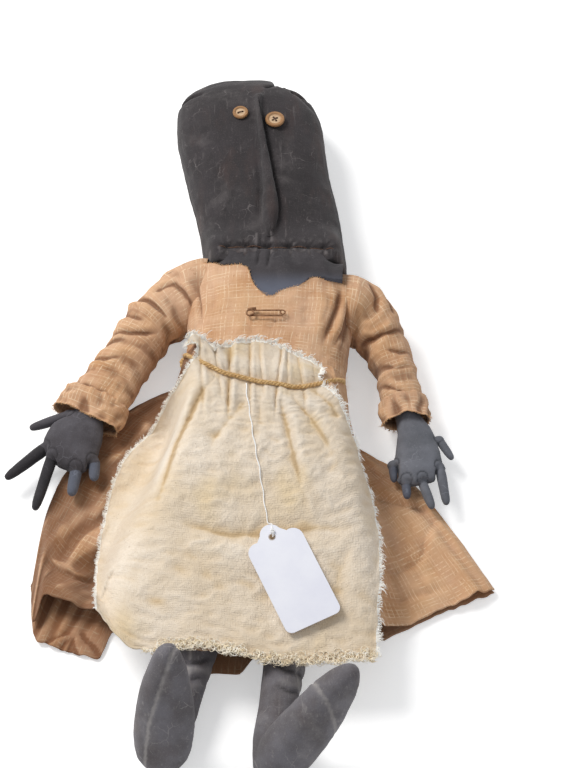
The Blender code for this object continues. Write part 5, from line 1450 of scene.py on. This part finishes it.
def hem_loops(name, roots, finish, seed):
    """Curly loose threads along a torn hem."""
    rng = np.random.default_rng(seed)
    walked = walked_along(roots)
    count = int(walked[-1] * 1000 * 1.5)
    root = picked(roots, walked, rng.uniform(0, walked[-1], count))
    s = np.linspace(0, 1, 16)[None, :]
    radius = rng.uniform(0.0010, 0.0026, (count, 1))
    start = rng.uniform(0, math.tau, (count, 1))
    swing = start + rng.choice([-1, 1], (count, 1)) * s * rng.uniform(3.5, 8, (count, 1))
    drift = rng.uniform(-0.004, 0.001, (count, 1)) * s
    dx = radius * (np.cos(swing) - np.cos(start)) + rng.uniform(-0.003, 0.003, (count, 1)) * s
    dy = radius * (np.sin(swing) - np.sin(start)) + drift
    dz = 0.0006 + 0.0016 * np.sin(s * math.pi) * rng.uniform(0.2, 1.0, (count, 1))
    return strands(name, root, np.stack([dx, dy, dz], -1), 0.00030, finish)


def pleats(x, y):
    """Pleats from the frill down past the rope, each deepest where it is tied."""
    height = np.zeros(x.shape)
    for frill, tied, width, depth in PLEATS:
        down = np.clip((74 - y * 1000) / 24, 0, 1.5)
        centre = (frill + (tied - frill) * down) / 1000
        low = 0.020 if depth > 1.7 else 0.032
        run = eased((y - low) / 0.02) * (1 - 0.35 * eased((y - 0.076) / 0.012))
        off = (x - centre) / (width / 1000)
        height += depth / 1000 * run * (0.45 * hump(off - 2.4, 1.5) - 1.1 * np.exp(-np.abs(off) * 1.2))
    return height


def apron_height(flat, place, share, edge):
    """The apron's creases and pleats, the waist drawn in by the rope, and its unevenness."""
    x, y = flat[..., 0], flat[..., 1]
    from_rope = y - rope_line(x)
    tie = hump(from_rope, 0.0035)
    height = creases(flat, APRON_CREASES) + pleats(x, y) * (1 - 0.5 * tie) - 0.0012 * tie
    height += 0.0026 * hump(from_rope - 0.011, 0.006) + 0.0016 * hump(from_rope + 0.012, 0.008)
    height += 0.0016 * lumps(place, 0.040, 104) + 0.0008 * lumps(place, 0.015, 105)
    rough = 0.25 + 0.75 * eased((share - 0.2) / 0.3)
    height += 0.0008 * crumpled(place, 0.007, 106, (0.55, 1.5, 1)) * rough
    height += 0.0006 * eased((0.02 - edge) / 0.02)
    return height + 0.0012 * lumps(place, 0.016, 107) * eased((share - 0.93) / 0.07)


def apron_edges(grid, thread, curled):
    """The frayed sides, the frill's fray, and the torn hem with its loose loops."""
    left, right, hem = grid[6:, 0], grid[4:, -1], grid[-1, 34:]
    edges = [
        fringe("apron_fuzz_left", left, left - grid[6:, 3], 0.0030, 0.00020, thread, 201, 5.0),
        fringe("apron_fringe_right", right, right - grid[4:, -4], 0.0052, 0.00024, thread, 202, 3.6),
        fringe("apron_frill_fray", grid[0], grid[0] - grid[4], 0.0056, 0.00026, thread, 203, 4.2, 1.6, 0.5),
        fringe("apron_hem_fringe", hem, hem - grid[-4, 34:], 0.0052, 0.00026, curled, 204, 2.6, 1.8),
        hem_loops("apron_hem_loops", grid[-4, 40:], curled, 205),
    ]
    for piece in edges:
        finished(piece, "lap", ride=False)
    return edges


def apron(finish, thread, curled, under):
    """The apron, gathered by the rope, and its frayed edges."""
    rows, cols = 210, 170
    flat = cloth_grid(APRON_GRID, APRON_SIZE, (0.0529, 0.23), rows, cols)
    share, turn = shares_over(rows, cols)
    place = np.stack([turn * APRON_SPREAD[0], -share * APRON_SPREAD[1], 0 * turn], -1)
    edge = np.minimum(turn, 1 - turn)
    flat[..., 0] += 0.0011 * lumps(place, 0.006, 101) * eased((0.04 - edge) / 0.04)
    torn = eased((share - 0.96) / 0.04) + eased((0.03 - share) / 0.03)
    flat[..., 1] += (0.0016 * lumps(place, 0.005, 102) + 0.001 * lumps(place, 0.02, 103)) * torn
    below = filled(Under(*under).tops(flat, 0.0))
    top = np.maximum(filled(Under(NODES["apron"]).tops(flat)), below + 0.0016)
    top = np.maximum(blurred(top, (3.0, 3.0)), below + 0.0012)
    height = apron_height(flat, place, share, edge)
    grid = np.dstack([flat, np.maximum(top + height, below + 0.0009)])
    # Painted shade in the creases and pleats, painted highlight on the ridges.
    hollow = np.clip(0.8 * painted_crease_shading(height, 0.0026, 6) + 0.25 * painted_crease_shading(height, 0.002, 14), -0.8, 1)
    obj = cloth_piece("apron_cloth", grid, finish, CLOTH_THICKNESS, place, hollow)
    finished(obj, "lap", ("apron",), ride=False)
    return obj, apron_edges(grid, thread, curled)


# Rope, string, thread and small things

def smooth_path(points, count, closed=False):
    """Evenly spaced places along a smooth curve through these points."""
    points = np.asarray(points, float)
    if closed:
        points = np.concatenate([points[-3:], points, points[:4]])
    made = spline_weights(len(points), np.linspace(0, 1, len(points) * 12)) @ points
    walked = walked_along(made)
    start, end = (walked[36], walked[len(made) - 48]) if closed else (0, walked[-1])
    return picked(made, walked, np.linspace(start, end, count, endpoint=not closed))


def twisted(name, path, radius, lay, ply, finish, closed=False, sides=7):
    """Cord of several strands laid round each other along a path."""
    thin = 0.56
    ahead = unit(np.roll(path, -1, 0) - np.roll(path, 1, 0) if closed else np.gradient(path, axis=0))
    side = np.cross(ahead, [0.0, 0.0, 1.0]) + 1e-9
    for i in range(1, len(side)):
        if np.linalg.norm(side[i]) < 0.2 or np.dot(side[i], side[i - 1]) < 0:
            side[i] = side[i - 1] - ahead[i] * np.dot(side[i - 1], ahead[i])
        side[i] /= np.linalg.norm(side[i])
    side[0] /= np.linalg.norm(side[0])
    up = np.cross(side, ahead)
    steps = np.linalg.norm(np.roll(path, -1, 0) - path, axis=1)
    walked = np.concatenate([[0], np.cumsum(steps)[:-1]])
    total = walked[-1] + (steps[-1] if closed else 0)
    turns = max(round(total / lay), 1) if closed else total / lay
    phase = walked / total * turns * math.tau
    points, faces = [], []
    for k in range(ply):
        turn = (phase + math.tau * k / ply)[:, None]
        centre = path + (side * np.cos(turn) + up * np.sin(turn)) * radius * (1 - thin)
        start = len(points)
        points += rings(centre, side, up, radius * thin, sides)
        for i in range(len(path) if closed else len(path) - 1):
            faces += ring_faces(start + i * sides, start + (i + 1) % len(path) * sides, sides)
        if not closed:
            faces += ring_caps(start, len(points), sides)
    return add_mesh(name, points, faces, finish)


def belt_route(front, back):
    """Places round the waist where the rope lies on the dress."""
    angles, shares = np.array(ROPE_FRONT, float).T
    route = []
    for degrees in np.arange(0, 360, 4.0):
        out = Vector((math.cos(math.radians(degrees)), 0, math.sin(math.radians(degrees))))
        along = np.interp(degrees, angles, shares) * WAIST
        met, seat = (front, 0.75) if degrees <= 180 else (back, 1.3)
        for _ in range(0 if met is front else 4):
            far = back.reach(Vector((0, along, BELT_MIDDLE)), out) + ROPE_RADIUS
            along = waist_line(out.x * far)
        core = Vector((0, along, BELT_MIDDLE))
        route.append(core + out * (met.reach(core, out) + ROPE_RADIUS * seat))
    route = np.array(route)
    for _ in range(2):
        route = 0.5 * route + 0.25 * (np.roll(route, 1, 0) + np.roll(route, -1, 0))
    route[:, 2] = np.maximum(route[:, 2], ROPE_RADIUS + 0.0004)
    return route


def rope_knot(finish, path):
    """The knot at the left side of the waist, and its two short tails."""
    at = path[int(np.argmin(np.abs(path[:, 0] - path[:, 0].min()) + 0.4 * np.abs(path[:, 2] - 0.014)))]
    turn = np.linspace(0, math.tau * 2.3, 60)
    knot = [np.cos(turn) * 0.0026 - 0.0022, np.sin(turn) * 0.0026, 0.0016 * np.sin(turn * 0.5)]
    runs = [("rope_knot", np.stack(knot, -1) + at, 0.9)]
    for number, spread in enumerate((-0.35, 0.5)):
        fall = np.array([-0.0025, 0.013 * spread - 0.003, -0.010])
        tail = smooth_path([at + fall * s + [-0.0022, 0, 0] for s in (0, 0.5, 1)], 24)
        runs.append((f"rope_tail_{number}", tail, 0.85))
    for name, run, share in runs:
        finished(twisted(name, run, ROPE_RADIUS * share, 0.006, 3, finish), "torso")


def rope_hairs(finish, path):
    """Fine hairs that stand out of the rope, where it is clear of the table."""
    rng = np.random.default_rng(301)
    pick = rng.integers(0, len(path), 560)
    pick = pick[path[pick, 2] > 0.012]
    count = len(pick)
    out = unit(path[pick] * [1, 0, 1] - np.array([0, 0, BELT_MIDDLE]))
    out = out * 0.8 + rng.normal(0, 0.5, out.shape)
    s = np.linspace(0, 1, 5)[None, :, None]
    routes = out[:, None] * s + rng.normal(0, 0.25, (count, 1, 3)) * s * s
    routes *= rng.uniform(0.0012, 0.0032, (count, 1, 1))
    hairs = strands("rope_hairs", path[pick] + out * ROPE_RADIUS * 0.5, routes, HAIR_RADIUS, finish)
    finished(hairs, "torso")


def rope(finish, fray, front_pieces, back_pieces):
    """The rope round the waist, its knot and tails, and its hairs."""
    path = smooth_path(belt_route(Under(*front_pieces), Under(*back_pieces)), 460, True)
    belt = twisted("rope_twist", path, ROPE_RADIUS, ROPE_LAY, 3, finish, True)
    finished(belt, "torso", ("rope_belt",))
    rope_knot(finish, path)
    rope_hairs(fray, path)


def stitches(finish, cover):
    """Rust-brown running stitches across the mouth, pulled down at each pucker."""
    under = Under(cover)
    marks = [-34, *STITCHES, 47.5]
    line = np.array(MOUTH, float) / 1000
    bow = np.sin(np.linspace(0, math.pi, 22))
    for number, (a, b) in enumerate(zip(marks, marks[1:])):
        xs = np.linspace(a + 0.4, b - 0.4, len(bow)) / 1000
        ys = np.interp(xs, line[:, 0], line[:, 1]) + 0.0005 * bow * (-1) ** number
        zs = np.array([under.top(x, y, 0.05) for x, y in zip(xs, ys)])
        zs = blurred(zs[None, :], (0, 2))[0] + 0.0002
        path = np.stack([xs, ys, zs - 0.0012 * (1 - bow ** 0.4)], -1)
        stitch = twisted(f"mouth_stitch_{number}", path, STITCH_RADIUS, STITCH_LAY, 2, finish, sides=6)
        finished(stitch, "head", ("mouth_thread",))


def tag_cord(finish, under):
    """The tag's string, which lies on the apron, with its knot and the loop through the hole."""
    tops = Under(*under, NODES["tag"])
    run = STRING_START - (TAG_HOLE[1] + TAG_NECK * 1.4)
    places = [(x, STRING_START - along * run) for x, along in STRING]
    places += [(TAG_HOLE[0], TAG_HOLE[1] + TAG_NECK * share) for share in (1.15, 0.95, 0.65, 0.4)]
    flat = smooth_path([(x, y, 0) for x, y in places], 130)
    flat[:, 0] += 0.00035 * np.sin(flat[:, 1] * 420)
    heights = np.array([tops.top(x, y, 0.05) for x, y in flat[:, :2]])
    heights = np.maximum(blurred(heights[None, :], (0, 3))[0], heights) + STRING_WIDTH * 0.5
    flat[:, 2] = blurred(heights[None, :], (0, 2))[0]
    cord = twisted("tag_string_cord", flat, STRING_WIDTH / 2, STRING_LAY, 2, finish)
    knot_at = flat[-1]
    turn = np.linspace(0, math.tau * 1.6, 40)
    loop = np.stack([np.sin(turn) * 0.0011, np.cos(turn) * 0.0012, 0.0003 * turn / 4], -1) + knot_at
    end = knot_at + np.array([(0, 0, 0), (0.0004, -0.0022, 0.0004), (0.0002, -0.0040, -0.0002)])
    knot, loop_end = (twisted(name, path, STRING_WIDTH * 0.42, STRING_LAY, 2, finish, sides=6)
                      for name, path in (("tag_string_knot", loop), ("tag_string_end", smooth_path(end, 24))))
    for obj in (cord, knot, loop_end):
        finished(obj, "lap")
    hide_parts("tag_string")


def pin_clasp(finish):
    """The pin's curled left end: a loop of wire with a short flat cap."""
    low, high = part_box("pin_guard")
    turn = np.radians(np.linspace(25, 400, 40))
    middle, reach = (low + high) / 2, (high.x - low.x) * 0.44
    loop = np.stack([middle.x + reach * np.cos(turn), middle.y - 0.0006 + reach * np.sin(turn),
                     middle.z + 0.0003 * turn / math.tau], -1)
    cap = [
        (low.x + 0.0012, high.y - 0.0014, middle.z),
        (middle.x + 0.001, high.y - 0.0007, middle.z + 0.0002),
        (high.x + 0.0012, high.y - 0.0002, middle.z),
    ]
    wires = (("pin_loop", loop, PIN_WIRE), ("pin_cap", smooth_path(cap, 16), PIN_WIRE * 1.5))
    for name, path, radius in wires:
        finished(tube(name, path, radius, finish), "torso", ("pin_guard",))


def repaint(node, finish):
    """Gives a solid that is shown as it is this finish."""
    obj = NODES[node]
    for place in obj.material_slots:
        place.material = finish
    if not obj.material_slots:
        obj.data.materials.append(finish)


def middle_of(node):
    """The middle of a solid's box, and half its width."""
    low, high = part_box(node)
    return (low + high) / 2, (high.x - low.x) / 2


# Everything together

make_camera()
make_floor()
make_light()
SKIN_TONES = {
    "head": ("head_cloth_dark", (27, 24, 26), (42, 38, 41), (112, 106, 106), {"scratch": 0.6, "warm": 0.5}),
    "chin": ("chin_cloth_dark", (38, 35, 38), (57, 53, 56), (104, 100, 102), {"scratch": 0.4, "cool": True}),
    "neck": ("neck_cloth_grey", (74, 76, 82), (104, 108, 116), (136, 140, 148), {"scratch": 0.2}),
    "left": ("left_hand_cloth", (56, 52, 55), (78, 75, 80), (112, 110, 116), {}),
    "right": ("right_hand_cloth", (84, 86, 92), (112, 114, 122), (140, 142, 150), {}),
    "dark": ("dark_finger_cloth", (30, 28, 31), (46, 43, 46), (84, 82, 86), {}),
    "blue": ("blue_finger_cloth", (72, 76, 88), (94, 98, 110), (128, 132, 144), {}),
    "leg": ("leg_cloth_grey", (84, 80, 84), (112, 110, 117), (168, 163, 160), {"scratch": 0.5, "warm": 0.3}),
}
SKIN = {
    part: painted_cloth(name, srgb(*dark), srgb(*tone), srgb(*light), **wear)
    for part, (name, dark, tone, light, wear) in SKIN_TONES.items()
}
# The inside finish is the check mixed darker: painted shade for the skirt's back under the rolled hem.
DRESS, SHADED_INSIDE = check_cloth("dress_check"), check_cloth("dress_inside_painted_shade", True)
APRON = apron_cloth()
FRINGE = twisted_thread("apron_threads", srgb(253, 249, 240), srgb(255, 255, 253), rough=0.00001)
CURLED = twisted_thread("hem_threads", srgb(238, 220, 184), srgb(255, 252, 244), 320, rough=0.00001)
DRESS_FRAY = twisted_thread("dress_threads", srgb(190, 142, 96), srgb(226, 190, 146))
ROPE = twisted_thread("rope_jute", srgb(172, 130, 76), srgb(236, 204, 150), 700)
RUST = twisted_thread("rust_thread", srgb(66, 44, 36), srgb(112, 84, 66), 1400)
WHITE = twisted_thread("white_string", srgb(244, 243, 241), srgb(255, 255, 255), 1500, rough=0.00003)
BLACK = twisted_thread("dark_thread", srgb(52, 30, 26), srgb(94, 62, 50), 1500)

stuffed_pieces(SKIN)
COVERS = [bpy.data.objects[name] for name in ("leg_left_cover", "leg_right_cover", "chest_cover")]
SKIRT_FRONT, SKIRT_BACK = skirts(DRESS, SHADED_INSIDE, COVERS)
BODICE = bodice(DRESS, DRESS_FRAY)
chin(SKIN["chin"], BODICE, bpy.data.objects["head_cover"])
sleeves(DRESS, DRESS_FRAY)
APRON_PIECE, EDGES = apron(APRON, FRINGE, CURLED, [SKIRT_FRONT, BODICE])
rope(ROPE, DRESS_FRAY, [APRON_PIECE, BODICE, SKIRT_FRONT], COVERS[2:])
stitches(RUST, bpy.data.objects["head_cover"])
tag_cord(WHITE, [APRON_PIECE])
for SIDE in ("left", "right"):
    CENTRE, RADIUS = middle_of("eye_button_" + SIDE)
    repaint("eye_button_" + SIDE, button_finish("button_wood_" + SIDE, CENTRE, RADIUS))
    repaint("eye_thread_" + SIDE, BLACK)
WIRE = wire_finish()
for NODE in ("pin_back", "pin_needle"):
    repaint(NODE, WIRE)
pin_clasp(WIRE)
repaint("tag", card_finish())

for OBJ in [SKIRT_FRONT, SKIRT_BACK, APRON_PIECE, *EDGES]:
    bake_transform(OBJ)
